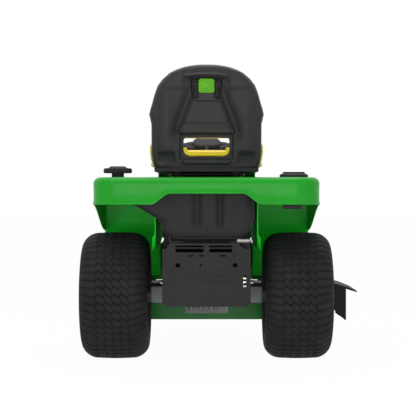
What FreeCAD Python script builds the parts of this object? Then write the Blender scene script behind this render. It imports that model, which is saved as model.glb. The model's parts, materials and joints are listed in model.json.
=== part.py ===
"""Riding lawn mower: a lawn tractor with a side-discharge deck.

Frame: +Z up, +Y forwards, +X to the driver's right. The sub-parts are sketched about the point on the
ground midway under the rear axle, and each one's Placement then moves it by the same shift, so that the
origin of the finished model is the bottom centre of its bounding box.
"""

import FreeCAD, Part
import math
import os
import re

import Sketcher

SIZES = {
    "layout": [
        ("wheelbase", 1245),
        ("front_reach", 1490),  # rear axle to the front of the grille
        ("rear_reach", 300),  # rear axle to the back of the fender band
        ("gap", 0.3),  # clearance between pieces that only rest on each other
        ("run", 0.08),  # radial running clearance of a shaft in its bore
    ],
    "rear wheels": [
        ("rear_tyre_radius", 254),
        ("rear_tyre_width", 268),
        ("rear_wheel_x", 364),
        ("rear_bead_radius", 101.6),
        ("rear_bead_width", 180),
        ("rear_shoulder", 62),
        ("rear_hub_inner", 139),
        ("rear_hub_outer", 22),
        ("rear_disc_x", 12),
        ("tyre_wall", 11),
        ("rear_flare", 52),
        ("rim_sheet", 3.5),
        ("rim_lip", 12),
        ("hub_wall", 14),
        ("rear_shaft_radius", 12.5),
        ("rear_shaft_inner", 100),
        ("rear_shaft_outer", 392),
    ],
    "front wheels": [
        ("front_tyre_radius", 190),
        ("front_tyre_width", 152),
        ("front_wheel_x", 380),
        ("front_bead_radius", 76),
        ("front_bead_width", 100),
        ("front_shoulder", 44),
        ("front_flare", 34),
        ("front_hub_inner", 72),
        ("front_hub_outer", 58),
        ("front_disc_x", 6),
        ("spindle_radius", 9.5),
    ],
    "frame": [
        ("rail_half", 170),  # outer face of each side rail
        ("rail_sheet", 5),
        ("rail_bottom", 330),
        ("rail_top", 400),
        ("rail_front", 1400),
        ("rail_back", 265),
        ("rail_low", 240),  # lower edge of the rail ends behind the axle
        ("horn_top", 290),  # underside of the rails over the axle
        ("rear_shoulder_top", 450),
        ("upright_back", 95),
        ("upright_front", 200),
        ("seat_plate_top", 724),
        ("plate_sheet", 6),
        ("tray_top", 420),
        ("steer_plate_z", 336),
        ("engine_plate_back", 870),
        ("hanger_half", 45),
        ("hanger_bottom", 262),
    ],
    "hitch plate": [
        ("hitch_sheet", 5),
        ("hitch_bottom", 231),
        ("hitch_shoulder_z", 453),
        ("hitch_top", 474),
        ("hitch_top_half", 132),
        ("hitch_lip", 46),
        ("hitch_hole_radius", 9.5),
        ("bolt_hole_half", 110),
        ("bolt_hole_z", 390),
        ("bolt_hole_radius", 9),
        ("slot_row_z", 462),
        ("slot_height", 7),
        ("slot_gap_half", 11),
        ("slot_length", 108),
        ("key_slot_x", 147),
        ("key_slot_low", 298),
        ("key_slot_high", 352),
        ("key_slot_width", 12),
        ("rod_radius", 4),
        ("bypass_x", 150),
        ("bypass_z", 484),
    ],
    "transaxle": [
        ("axle_box_half", 85),
        ("axle_box_length", 95),
        ("axle_box_bottom", 186),
        ("axle_box_top", 335),
        ("horn_radius", 27),
        ("horn_end", 222),
        ("horn_block_start", 177),
        ("input_y", 20),
        ("input_pulley_radius", 75),
        ("input_fan_radius", 88),
        ("input_shaft_radius", 8),
        ("belt_z", 386),
        ("belt_height", 9),
        ("belt_thick", 8),
    ],
    "fuel tank": [
        ("tank_back", 250),
        ("tank_front", 102),
        ("tank_top", 704),
        ("tank_half", 182),
        ("tank_bottom", 490),
        ("tank_wing_x", 392),
        ("tank_wing_z", 640),
        ("tank_wall", 4),
        ("filler_x", 346),
        ("filler_y", 178),
        ("filler_radius", 24),
        ("filler_top", 750),
        ("cap_radius", 56),
        ("cap_top", 771),
        ("cap_low", 744),
    ],
    "fender": [
        ("fender_half", 440),
        ("fender_front", 350),
        ("fender_top", 728),
        ("fender_skirt", 621),
        ("fender_arch", 664),
        ("fender_arch_half", 150),
        ("fender_sheet", 4),
        ("fender_corner", 105),
        ("fender_edge", 26),
        ("house_inner", 200),
        ("house_rear", 232),
        ("house_low", 442),
        ("toe_y", 436),
        ("deck_floor_top", 304),
        ("dial_x", 343),
        ("dial_y", 150),
        ("dial_radius", 56),
        ("dial_height", 15),
        ("dial_stem", 9),
    ],
    "foot deck": [
        ("foot_half", 440),
        ("foot_front", 900),
        ("foot_sheet", 4),
        ("foot_lip", 22),
        ("tunnel_half", 200),
        ("tunnel_top", 446),
        ("tunnel_end", 700),
    ],
    "steering": [
        ("pinion_y", 800),
        ("tooth_module", 2),
        ("pinion_teeth", 12),
        ("sector_teeth", 84),
        ("gear_thick", 9),
        ("sector_z", 322),
        ("arm_radius", 45),
        ("link_z", 304),
        ("link_rod", 5),
        ("eye_radius", 13),
        ("eye_thick", 8),
        ("joint_pin", 5),
        ("open_pin_gap", 1.8),
        ("steer_shaft", 8),
        ("coupling_z", 525),
        ("coupling_radius", 17),
        ("column_tilt", 25),
        ("column_length", 400),
        ("column_tube", 14),
        ("column_tube_low", 150),
        ("column_tube_high", 330),
        ("wheel_radius", 166),
        ("wheel_grip", 12),
        ("wheel_hub", 34),
    ],
    "front axle": [
        ("kingpin_x", 275),
        ("kingpin_radius", 9.5),
        ("boss_radius", 24),
        ("boss_low", 225),
        ("boss_high", 284),
        ("pivot_z", 304),
        ("pivot_radius", 10),
        ("beam_half", 20),
        ("arm_z", 287),
        ("arm_thick", 9),
        ("tie_arm", 90),
        ("tie_z", 277),
    ],
    "seat": [
        ("seat_hinge_y", 343),
        ("seat_hinge_z", 741),
        ("seat_pin", 5),
        ("carriage_half", 140),
        ("carriage_back", 60),
        ("carriage_low", 738),
        ("carriage_sheet", 5),
        ("runner_x", 115),
        ("runner_half", 12),
        ("runner_height", 8),
        ("seat_pan_half", 205),
        ("seat_pan_back", 142),
        ("seat_pan_front", 372),
        ("seat_pan_thick", 14),
        ("cushion_half", 234),
        ("cushion_back", 40),
        ("cushion_front", 412),
        ("cushion_top", 852),
        ("back_half", 230),
        ("back_low", 748),
        ("back_top", 1168),
        ("back_lean", 78),
        ("back_rear", 128),
        ("back_shell", 26),
        ("back_pad", 62),
        ("back_round", 150),
        ("window_half", 90),
        ("window_low", 812),
        ("window_high", 884),
    ],
    "dash": [
        ("dash_half", 172),
        ("dash_back", 702),
        ("dash_front", 862),
        ("dash_wall", 5),
        ("dash_face_low", 792),
        ("dash_face_high", 862),
        ("dash_face_y", 778),
        ("throttle_x", 104),
        ("throttle_length", 62),
        ("choke_x", 60),
        ("pto_x", 60),
        ("knob_radius", 15),
        ("key_x", 108),
    ],
    "engine": [
        ("crank_y", 1010),
        ("engine_half", 112),
        ("engine_back", 905),
        ("engine_front", 1165),
        ("engine_top", 610),
        ("shroud_radius", 136),
        ("shroud_top", 735),
        ("screen_radius", 92),
        ("crank_radius", 12.5),
        ("drive_sheave_radius", 46),
        ("pto_radius", 62),
        ("pto_low", 150),
        ("pto_hub", 20),
        ("muffler_y", 1290),
        ("muffler_radius", 58),
        ("muffler_half", 130),
    ],
    "hood": [
        ("hood_half", 228),
        ("hood_back", 872),
        ("hood_low", 436),
        ("hood_back_top", 884),
        ("hood_front_top", 792),
        ("hood_nose_z", 700),
        ("hood_nose_y", 1462),
        ("hood_sheet", 4),
        ("hood_round", 60),
        ("hood_hinge_y", 1424),
        ("hood_hinge_z", 448),
        ("hood_pin", 5),
        ("grille_thick", 10),
        ("grille_half", 168),
        ("grille_low", 470),
        ("grille_high", 640),
        ("lamp_low", 648),
        ("lamp_high", 696),
        ("lamp_inner", 52),
        ("lamp_outer", 196),
    ],
    "mowing deck": [
        ("deck_half", 556),
        ("deck_back", 340),
        ("deck_front", 960),
        ("deck_low", 122),
        ("deck_top", 218),
        ("deck_sheet", 3),
        ("deck_corner", 210),
        ("spindle_x", 265),
        ("spindle_y", 650),
        ("blade_radius", 260),
        ("blade_width", 60),
        ("blade_thick", 5),
        ("blade_z", 140),
        ("spindle_shaft", 10),
        ("spindle_housing", 34),
        ("deck_pulley_radius", 64),
        ("deck_belt_z", 254),
        ("mouth_back", 500),
        ("mouth_front", 862),
        ("chute_out", 668),
        ("chute_skirt_x", 618),
        ("chute_low", 102),
        ("chute_wall", 5),
        ("chute_hinge_z", 262),
        ("gauge_radius", 55),
        ("gauge_width", 40),
        ("gauge_x", 505),
        ("gauge_y", 1012),
        ("gauge_z", 152),
    ],
    "deck lift": [
        ("lift_y", 510),
        ("lift_z", 365),
        ("lift_tube", 12),
        ("lift_arm", 136),
        ("lift_angle", 16),
        ("lift_arm_x", 178),
        ("lift_arm_thick", 6),
        ("lift_lever_x", 247),
        ("lift_lever_length", 350),
        ("lift_lever_lean", 18),
        ("lift_link_length", 150),
        ("lift_pin", 6),
    ],
    "pedals": [
        ("pedal_y", 742),
        ("pedal_z", 332),
        ("pedal_shaft", 8),
        ("pedal_pad_z", 398),
        ("pedal_pad_y", 838),
        ("forward_pad_x", 356),
        ("reverse_pad_x", 268),
        ("brake_pad_x", 300),
        ("pad_half", 30),
    ],
}

doc = FreeCAD.newDocument("riding_mower")
dims = doc.addObject("Spreadsheet::Sheet", "dims")
NAMES = set()


def fill_sheet():
    """Writes every driving size to the sheet, one row each, with the group's name beside it."""
    row = 1
    for group, sizes in SIZES.items():
        for name, size in sizes:
            dims.set(f"A{row}", group)
            dims.set(f"B{row}", str(size))
            dims.setAlias(f"B{row}", name)
            NAMES.add(name)
            row += 1
    doc.recompute()


fill_sheet()


def cells(text):
    """The expression with each size's name as a reference to its cell."""
    return re.sub(r"[a-z_]+", lambda m: "dims." + m[0] if m[0] in NAMES else m[0], str(text))


def value(text):
    """What an expression comes to at present."""
    return float(dims.evalExpression(cells(text)))


def bind(obj, prop, text):
    obj.setExpression(prop, cells(text))


def bind_base(obj, base):
    for axis, text in zip("xyz", base):
        bind(obj, f"Placement.Base.{axis}", text)
    obj.addProperty("App::PropertyStringList", "BaseTexts")
    obj.BaseTexts = [str(text) for text in base]


# Turns that carry the Z axis to each axis, so that round pieces can be drawn along it.
TURN_TO = {
    "X": FreeCAD.Rotation(FreeCAD.Vector(0, 1, 0), 90),
    "Y": FreeCAD.Rotation(FreeCAD.Vector(1, 0, 0), -90),
    "Z": FreeCAD.Rotation(),
}


def place(obj, base, turn=None, tilt=None):
    """Puts obj at base; turn is a fixed rotation, and tilt an expression for an angle about X."""
    rotation = turn or FreeCAD.Rotation(FreeCAD.Vector(1, 0, 0), 1 if tilt else 0)
    obj.Placement = FreeCAD.Placement(FreeCAD.Vector(), rotation)
    bind_base(obj, base)
    if tilt:
        bind(obj, "Placement.Rotation.Angle", tilt)
    return obj


def box(low, high):
    obj = doc.addObject("Part::Box", "box")
    for side, a, b in zip(("Length", "Width", "Height"), low, high):
        bind(obj, side, f"({b}) - ({a})")
    return place(obj, low)


def rod(axis, start, length, radius):
    """A round bar from start along an axis."""
    obj = doc.addObject("Part::Cylinder", "rod")
    bind(obj, "Radius", radius)
    bind(obj, "Height", length)
    return place(obj, start, TURN_TO[axis])


def ball(centre, radius):
    obj = doc.addObject("Part::Sphere", "ball")
    bind(obj, "Radius", radius)
    return place(obj, centre)


def torus(radius, grip):
    obj = doc.addObject("Part::Torus", "ring")
    bind(obj, "Radius1", radius)
    bind(obj, "Radius2", grip)
    return obj


def bar(start, end, radius, way="X"):
    """A round bar between two points that differ along two axes only; way is the axis they share."""
    others = [i for i in range(3) if "XYZ"[i] != way]
    gap = [value(f"({end[i]}) - ({start[i]})") for i in range(3)]
    obj = doc.addObject("Part::Cylinder", "bar")
    bind(obj, "Radius", radius)
    squares = [f"(({end[i]}) - ({start[i]})) ^ 2" for i in others]
    bind(obj, "Height", f"sqrt({squares[0]} + {squares[1]})")
    turn = FreeCAD.Rotation(FreeCAD.Vector(0, 0, 1), FreeCAD.Vector(*gap))
    return place(obj, start, turn)


def around(axis, piece, angles, centre, tilt=None):
    """Copies of a piece that is drawn about the origin, turned about an axis and set at centre."""
    way = FreeCAD.Vector(*[float(axis == a) for a in "XYZ"])
    copies = []
    for angle in angles:
        obj = doc.addObject("Part::Compound", "copy")
        obj.Links = [piece]
        copies.append(place(obj, ("0", "0", "0"), FreeCAD.Rotation(way, angle)))
    whole = fuse(*copies) if len(copies) > 1 else copies[0]
    return moved(whole, centre, tilt)


def moved(piece, centre, tilt=None):
    """A piece that is drawn about the origin, set at centre; tilt turns it about X first."""
    obj = doc.addObject("Part::Compound", "moved")
    obj.Links = [piece]
    return place(obj, centre, tilt=tilt)

def fuse(*pieces):
    obj = doc.addObject("Part::MultiFuse", "fuse")
    obj.Shapes = list(pieces)
    return obj


def cut(base, *tools):
    obj = doc.addObject("Part::Cut", "cut")
    obj.Base = base
    obj.Tool = tools[0] if len(tools) == 1 else fuse(*tools)
    return obj


def common(*pieces):
    obj = doc.addObject("Part::MultiCommon", "common")
    obj.Shapes = list(pieces)
    return obj


def group(*pieces):
    """Separate solids that share one sub-part."""
    obj = doc.addObject("Part::Compound", "group")
    obj.Links = list(pieces)
    return obj


def mirrored(source):
    """The same piece on the other side of the machine."""
    obj = doc.addObject("Part::Mirroring", "mirror")
    obj.Source = source
    obj.Normal = FreeCAD.Vector(1, 0, 0)
    return obj


def both(source):
    return source, mirrored(source)


def sketch_on(body, plane, outline, offset=None):
    """A closed outline of straight lines, every corner held by its two coordinates."""
    sketch = body.newObject("Sketcher::SketchObject", "outline")
    support = next(f for f in body.Origin.OriginFeatures if f.Role == plane + "_Plane")
    sketch.AttachmentSupport = [(support, "")]
    sketch.MapMode = "FlatFace"
    if offset:
        bind(sketch, "AttachmentOffset.Base.z", offset)
    corners = [FreeCAD.Vector(value(a), value(b), 0) for a, b in outline]
    count = len(corners)
    for i in range(count):
        sketch.addGeometry(Part.LineSegment(corners[i], corners[(i + 1) % count]))
    for i in range(count):
        sketch.addConstraint(Sketcher.Constraint("Coincident", i, 2, (i + 1) % count, 1))
    for i, texts in enumerate(outline):
        for kind, text, at in zip(("DistanceX", "DistanceY"), texts, corners[i]):
            index = sketch.addConstraint(Sketcher.Constraint(kind, -1, 1, i, 1, at))
            bind(sketch, f"Constraints[{index}]", text)
    return sketch


def slab(plane, outline, low, high):
    """An outline padded from low to high along the plane's axis (XZ outlines run along Y)."""
    body = doc.addObject("PartDesign::Body", "slab")
    start = f"-({high})" if plane == "XZ" else f"{low}"
    sketch = sketch_on(body, plane, outline, start)
    pad = body.newObject("PartDesign::Pad", "pad")
    pad.Profile = sketch
    bind(pad, "Length", f"({high}) - ({low})")
    doc.recompute()
    return body


def turned(axis, profile, centre=("0", "0", "0"), tilt=None):
    """A profile of (distance along the axis, radius) points, revolved about that axis."""
    body = doc.addObject("PartDesign::Body", "turned")
    if axis == "X":
        sketch = sketch_on(body, "XY", profile)
    else:
        sketch = sketch_on(body, {"Y": "XY", "Z": "XZ"}[axis], [(r, a) for a, r in profile])
    spin = body.newObject("PartDesign::Revolution", "spin")
    spin.Profile = sketch
    spin.ReferenceAxis = (sketch, ["H_Axis" if axis == "X" else "V_Axis"])
    spin.Angle = 360
    place(body, centre, tilt=tilt)
    doc.recompute()
    return body


def rounded(body, radius, wanted):
    """Fillets the edges of a body for which wanted(edge) is true."""
    base = body.Tip
    names = [f"Edge{i}" for i, e in enumerate(base.Shape.Edges, 1) if wanted(e)]
    fillet = body.newObject("PartDesign::Fillet", "round")
    fillet.Base = (base, names)
    bind(fillet, "Radius", radius)
    doc.recompute()
    return body


def runs_along(axis):
    """A test for straight edges that run along an axis."""
    index = "XYZ".index(axis)

    def test(edge):
        low, high = edge.firstVertex().Point, edge.lastVertex().Point
        way = high - low
        return edge.Curve.TypeId == "Part::GeomLine" and abs(way[index]) > 0.999 * way.Length

    return test


def close_to(text, size):
    return abs(value(text) - size) < 0.01


PARTS = {}


def round_edge(radius):
    """A test for circular edges of a radius."""
    return lambda e: e.Curve.TypeId == "Part::GeomCircle" and close_to(radius, e.Curve.Radius)


def sub_part(label, obj):
    """Names a finished sub-part and moves it, so that the model's origin is its bottom centre."""
    obj.Label = label
    base = obj.BaseTexts if "BaseTexts" in obj.PropertiesList else ("0", "0", "0")
    bind(obj, "Placement.Base.x", f"({base[0]}) + (deck_half - chute_out) / 2")
    bind(obj, "Placement.Base.y", f"({base[1]}) + (rear_reach - front_reach) / 2")
    bind(obj, "Placement.Base.z", base[2])
    PARTS[label] = obj
    return obj


def pair(label, right):
    """Two sub-parts, one on each side, from the one drawn on the right."""
    sub_part(label + "_right", group(right))
    sub_part(label + "_left", mirrored(right))


def pulley(radius, z, centre):
    """A grooved disc about Z at height z, for a belt that sits inside its flanges."""
    low, high, groove = f"{z} - 8", f"{z} + 8", f"{radius} - belt_thick - 2"
    profile = [(low, "0"), (low, radius), (f"{z} - 5", radius), (f"{z} - 5", groove)]
    profile += [(f"{z} + 5", groove), (f"{z} + 5", radius), (high, radius), (high, "0")]
    return turned("Z", profile, centre)


def loop_face(circles, inset):
    """The face inside the loop that runs tightly round circles of (x, y, r), drawn anticlockwise."""
    circles = [(FreeCAD.Vector(x, y, 0), r - inset) for x, y, r in circles]
    runs = []
    for (a, ra), (b, rb) in zip(circles, circles[1:] + circles[:1]):
        way = (b - a).normalize()
        lean = (ra - rb) / (b - a).Length
        out = FreeCAD.Vector(way.y, -way.x, 0) * math.sqrt(1 - lean**2) + way * lean
        runs.append((a + out * ra, b + out * rb))
    edges = []
    for (p, q), (after, _), (centre, r) in zip(runs, runs[1:] + runs[:1], circles[1:] + circles[:1]):
        first, last = (math.atan2(v.y, v.x) for v in (q - centre, after - centre))
        middle = first + ((last - first) % (2 * math.pi)) / 2
        top = centre + FreeCAD.Vector(math.cos(middle), math.sin(middle), 0) * r
        edges.append(Part.makeLine(p, q))
        edges.append(Part.Arc(q, top, after).toShape())
    return Part.Face(Part.Wire(edges))


def belt(label, circles, z):
    """A belt round pulleys of (x, y, radius), as a flat closed band at height z."""
    at = [tuple(value(text) for text in circle) for circle in circles]
    height, low = value("belt_height"), value(f"{z} - belt_height / 2")
    outer, inner = (loop_face(at, inset) for inset in (1.5, 1.5 + value("belt_thick")))
    obj = doc.addObject("Part::Feature", "band")
    band = outer.extrude(FreeCAD.Vector(0, 0, height)).cut(inner.extrude(FreeCAD.Vector(0, 0, height)))
    band.translate(FreeCAD.Vector(0, 0, low))
    obj.Shape = band
    return sub_part(label, moved(obj, ("0", "0", "0")))


def gear_outline(teeth, top, root, thin, first, last):
    """Corner points of involute teeth numbered first to last, tooth 0 centred on +X."""
    module, pressure = value("tooth_module"), math.radians(20)
    pitch_r = module * teeth / 2
    base_r = pitch_r * math.cos(pressure)

    def half_angle(r):
        """Half the tooth's angle at radius r."""
        r = max(r, base_r)
        roll = math.acos(base_r / r)
        at_pitch = math.pi / (2 * teeth) - thin / pitch_r
        return at_pitch + (math.tan(pressure) - pressure) - (math.tan(roll) - roll)

    radii = [root + (top - root) * k / 5 for k in range(6)]
    points = []
    for tooth in range(first, last + 1):
        middle = 2 * math.pi * tooth / teeth
        points += [(r, middle - half_angle(r)) for r in radii]
        points += [(r, middle + half_angle(r)) for r in reversed(radii)]
    return [FreeCAD.Vector(r * math.cos(a), r * math.sin(a), 0) for r, a in points]


def gear_solid(points, z, height):
    """The points' closed outline as a block from height z."""
    face = Part.Face(Part.makePolygon(points + points[:1]))
    solid = face.extrude(FreeCAD.Vector(0, 0, height))
    solid.translate(FreeCAD.Vector(0, 0, z))
    obj = doc.addObject("Part::Feature", "teeth")
    obj.Shape = solid
    return obj


# ---------------------------------------------------------------- wheels


def tyre(size, centre):
    """A hollow tyre about X: a rounded crown, and side walls that flare out from the beads."""
    r, w = f"{size}_tyre_radius", f"{size}_tyre_width / 2"
    bead, b = f"{size}_bead_width / 2", f"{size}_bead_radius"
    flare = f"{size}_flare"
    half = [
        (w, r),
        (w, f"{b} + {flare}"),
        (bead, f"{b} + rim_lip + 2"),
        (bead, b),
        (f"{bead} - tyre_wall", b),
        (f"{bead} - tyre_wall", f"{b} + rim_lip + 4"),
        (f"{w} - tyre_wall", f"{b} + {flare} + 2"),
        (f"{w} - tyre_wall", f"{r} - tyre_wall"),
    ]
    body = turned("X", half + [(f"-({a})", d) for a, d in reversed(half)], centre)
    rounded(body, f"{size}_shoulder", round_edge(r))
    rounded(body, f"{size}_shoulder - tyre_wall", round_edge(f"{r} - tyre_wall"))
    return body


def rim(size, bore, centre):
    """A pressed rim with its disc and hub, about X."""
    b, edge = f"{size}_bead_radius", f"{size}_bead_width / 2 + gap"
    lip, inside = f"{b} + rim_lip", f"{b} - gap - rim_sheet"
    disc, hub = f"{size}_disc_x", f"{bore} + hub_wall"
    profile = [
        (f"-({edge} + rim_sheet)", lip),
        (f"-({edge})", lip),
        (f"-({edge})", f"{b} - gap"),
        (edge, f"{b} - gap"),
        (edge, lip),
        (f"{edge} + rim_sheet", lip),
        (f"{edge} + rim_sheet", inside),
        (f"{disc} + 5", inside),
        (f"{disc} + 5", hub),
        (f"{size}_hub_outer", hub),
        (f"{size}_hub_outer", bore),
        (f"-{size}_hub_inner", bore),
        (f"-{size}_hub_inner", hub),
        (disc, hub),
        (disc, inside),
        (f"-({edge} + rim_sheet)", inside),
    ]
    return turned("X", profile, centre)


rear_at = ("rear_wheel_x", "0", "rear_tyre_radius")
front_at = ("front_wheel_x", "wheelbase", "front_tyre_radius")
pair("rear_tyre", tyre("rear", rear_at))
rear_shaft = rod(
    "X", ("rear_shaft_inner", "0", "rear_tyre_radius"), "rear_shaft_outer - rear_shaft_inner",
    "rear_shaft_radius",
)
pair("rear_rim", fuse(rim("rear", "rear_shaft_radius", rear_at), rear_shaft))
pair("front_tyre", tyre("front", front_at))
pair("front_rim", rim("front", "spindle_radius + run", front_at))

# ---------------------------------------------------------------- transaxle

case = slab(
    "YZ",
    [
        ("-axle_box_length", "axle_box_bottom + 34"),
        ("-axle_box_length + 34", "axle_box_bottom"),
        ("axle_box_length - 34", "axle_box_bottom"),
        ("axle_box_length", "axle_box_bottom + 34"),
        ("axle_box_length", "axle_box_top - 20"),
        ("axle_box_length - 20", "axle_box_top"),
        ("-axle_box_length + 20", "axle_box_top"),
        ("-axle_box_length", "axle_box_top - 20"),
    ],
    "-axle_box_half",
    "axle_box_half",
)
horns = rod("X", ("-horn_end", "0", "rear_tyre_radius"), "2 * horn_end", "horn_radius")
ribs = [
    rod("X", (f"{x} - 3", "0", "rear_tyre_radius"), "6", "horn_radius + 9")
    for x in ("-axle_box_half - 14", "axle_box_half + 14")
]
blocks = both(box(("horn_block_start", "-32", "226"), ("horn_end", "32", "horn_top")))
shaft_bore = both(
    rod("X", ("rear_shaft_inner - 1", "0", "rear_tyre_radius"), "horn_end", "rear_shaft_radius + run")
)
boss = rod("Z", ("0", "input_y", "axle_box_top - 4"), "16", "22")
input_bore = rod("Z", ("0", "input_y", "axle_box_top - 20"), "60", "input_shaft_radius + run")
sub_part("transaxle", cut(fuse(case, horns, boss, *ribs, *blocks), input_bore, *shaft_bore))

fan_disc = rod("Z", ("0", "input_y", "352"), "4", "input_fan_radius")
vane = box(("26", "-1.5", "0"), ("input_fan_radius - 2", "1.5", "13"))
vanes = around("Z", vane, range(0, 360, 45), ("0", "input_y", "355"))
input_shaft = rod(
    "Z", ("0", "input_y", "axle_box_top - 17"), "belt_z - axle_box_top + 29", "input_shaft_radius"
)
sub_part(
    "transaxle_pulley",
    fuse(
        pulley("input_pulley_radius", "belt_z", ("0", "input_y", "0")),
        fan_disc,
        vanes,
        input_shaft,
    ),
)

# ---------------------------------------------------------------- frame

inner = "rail_half - rail_sheet"
rail = slab(
    "YZ",
    [
        ("-rail_back", "rail_low"),
        ("-upright_back", "rail_low"),
        ("-60", "horn_top"),
        ("100", "horn_top"),
        ("160", "rail_bottom"),
        ("rail_front", "rail_bottom"),
        ("rail_front", "rail_top"),
        ("upright_front + 60", "rail_top"),
        ("upright_front", "seat_plate_top - plate_sheet"),
        ("-upright_back", "seat_plate_top - plate_sheet"),
        ("-upright_back", "rear_shoulder_top"),
        ("-rail_back", "rear_shoulder_top"),
    ],
    inner,
    "rail_half",
)
window = slab(
    "YZ",
    [
        ("-upright_back + 45", "rail_top + 40"),
        ("upright_front - 20", "rail_top + 40"),
        ("upright_front - 45", "seat_plate_top - 55"),
        ("-upright_back + 45", "seat_plate_top - 55"),
    ],
    f"{inner} - 1",
    "rail_half + 1",
)
rails = [cut(piece, hole) for piece, hole in zip(both(rail), both(window))]
flanges = both(
    box(("rail_half - 22", "-upright_back", "rear_shoulder_top"), (inner, "-upright_back + 5",
        "seat_plate_top - plate_sheet"))
)
axle_pads = both(box(("rail_half", "-45", "horn_top"), ("horn_end", "45", "horn_top + 6")))


def cross(low_y, high_y, low_z, high_z, half=inner):
    return box((f"-({half})", low_y, low_z), (half, high_y, high_z))


seat_plate = cross("-upright_back", "upright_front", "seat_plate_top - plate_sheet", "seat_plate_top",
                   "rail_half")
bypass_guide = cut(
    box(("bypass_x - 10", "-205", "rear_shoulder_top - 8"), ("rail_half", "-200", "bypass_z + 10")),
    rod("Y", ("bypass_x", "-210", "bypass_z"), "20", "rod_radius + gap"),
)
mid_cross = cross("205", "240", "rail_bottom + 5", "rail_bottom + 40")
tray = cross("upright_front + 80", "upright_front + 86", "rail_bottom", "rail_bottom + 40")
steer_plate = cross("pinion_y - 45", "pinion_y + 45", "steer_plate_z - plate_sheet", "steer_plate_z")
engine_plate = cross("engine_plate_back", "rail_front - 200", "rail_top", "rail_top + 5", "rail_half")
front_plate = cross("rail_front", "rail_front + 6", "rail_bottom", "rail_top", "rail_half")
hangers = []
for y in ("wheelbase - 41", "wheelbase + 35"):
    hangers.append(cross(y, f"{y} + 6", "rail_bottom", "rail_top"))
    hangers.append(cross(y, f"{y} + 6", "hanger_bottom", "rail_bottom + 2", "hanger_half"))
sector_at = "-tooth_module * (sector_teeth - pinion_teeth) / 2"
stud = rod("Z", (sector_at, "pinion_y", "sector_z - 14"), "steer_plate_z - sector_z + 14", "8")
stud_head = rod("Z", (sector_at, "pinion_y", "sector_z - 18"), "6", "13")
hinge_arms = both(
    box(("rail_half - 16", "rail_front + 6", "rail_top - 30"), ("rail_half - 10", "hood_hinge_y + 10",
        "hood_hinge_z + 12"))
)
seat_studs = [
    rod("Z", (x, y, "seat_plate_top"), "fender_top - seat_plate_top", "6")
    for x in ("-90", "90") for y in ("-40", "140")
]
pinion_bore = rod("Z", ("0", "pinion_y", "rail_bottom - 10"), "30", "steer_shaft + run")
crank_hole = rod("Z", ("0", "crank_y", "rail_top - 10"), "30", "20")
lift_bore = rod("X", ("-200", "lift_y", "lift_z"), "400", "lift_tube + run")
hood_bore = rod("X", ("-200", "hood_hinge_y", "hood_hinge_z"), "400", "hood_pin")
frame_body = fuse(*rails, *flanges, *axle_pads, seat_plate, bypass_guide, mid_cross, tray, steer_plate,
                  engine_plate, front_plate, *hangers, *hinge_arms)
pivot_pin = rod("Y", ("0", "wheelbase - 46", "pivot_z"), "92", "pivot_radius")
pin_heads = [rod("Y", ("0", y, "pivot_z"), "5", "pivot_radius + 5")
             for y in ("wheelbase - 46", "wheelbase + 41")]
sub_part(
    "main_frame",
    fuse(cut(frame_body, pinion_bore, crank_hole, lift_bore, hood_bore), stud, stud_head, *seat_studs,
         pivot_pin, *pin_heads),
)

hitch = slab(
    "XZ",
    [
        ("-rail_half + 12", "hitch_bottom"),
        ("rail_half - 12", "hitch_bottom"),
        ("rail_half", "hitch_bottom + 27"),
        ("rail_half", "hitch_shoulder_z"),
        ("hitch_top_half + 10", "hitch_shoulder_z"),
        ("hitch_top_half - 8", "hitch_top"),
        ("-hitch_top_half - 10", "hitch_top"),
        ("-hitch_top_half - 22", "hitch_shoulder_z"),
        ("-rail_half", "hitch_shoulder_z"),
        ("-rail_half", "hitch_bottom + 27"),
    ],
    "-rail_back - hitch_sheet",
    "-rail_back",
)
lip = box(("-rail_half + 14", "-rail_back", "hitch_bottom"), ("rail_half - 14", "-rail_back + hitch_lip",
          "hitch_bottom + hitch_sheet"))
back = "-rail_back - hitch_sheet - 10"


def slot(x_low, x_high, z, height):
    return box((x_low, back, f"{z} - {height} / 2"), (x_high, "-rail_back + 10", f"{z} + {height} / 2"))


slots = []
for z, high in (("slot_row_z", "slot_height"), ("slot_row_z - 15", "slot_height - 1")):
    slots.append(slot("slot_gap_half", "slot_gap_half + 88", z, high))
    slots.append(slot("-slot_gap_half - slot_length", "-slot_gap_half", z, high))
for low_x, high_x in (("-68", "-49"), ("-26", "-10"), ("51", "76"), ("103", "109")):
    slots.append(slot(low_x, high_x, "slot_row_z - 36", "5"))
slots.append(
    box(("key_slot_x - key_slot_width / 2", back, "key_slot_low"),
        ("key_slot_x + key_slot_width / 2", "-rail_back + 10", "key_slot_high"))
)
bolt_holes = [rod("Y", (x, back, "bolt_hole_z"), "40", "bolt_hole_radius")
              for x in ("-bolt_hole_half", "bolt_hole_half")]
small_hole = rod("Y", ("-22", back, "bolt_hole_z"), "40", "4")
draw_hole = rod("Z", ("0", "-rail_back + hitch_lip / 2", "hitch_bottom - 5"), "20", "hitch_hole_radius")
ridge = box(("-123", "-rail_back - hitch_sheet - 2.5", "332"), ("121", "-rail_back - hitch_sheet", "346"))
sub_part("hitch_plate", cut(fuse(hitch, lip, ridge), *slots, *bolt_holes, small_hole, draw_hole))

rod_run = rod("Y", ("bypass_x", "-rail_back + 3", "bypass_z"), "150", "rod_radius")
rod_grip = rod("X", ("118", "-rail_back + 3", "bypass_z"), "47", "8")
rod_end = rod("X", ("165", "-rail_back + 3", "bypass_z"), "13", "3.5")
sub_part("freewheel_rod", fuse(rod_run, rod_grip, rod_end))

# ---------------------------------------------------------------- fuel tank and fender


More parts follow.
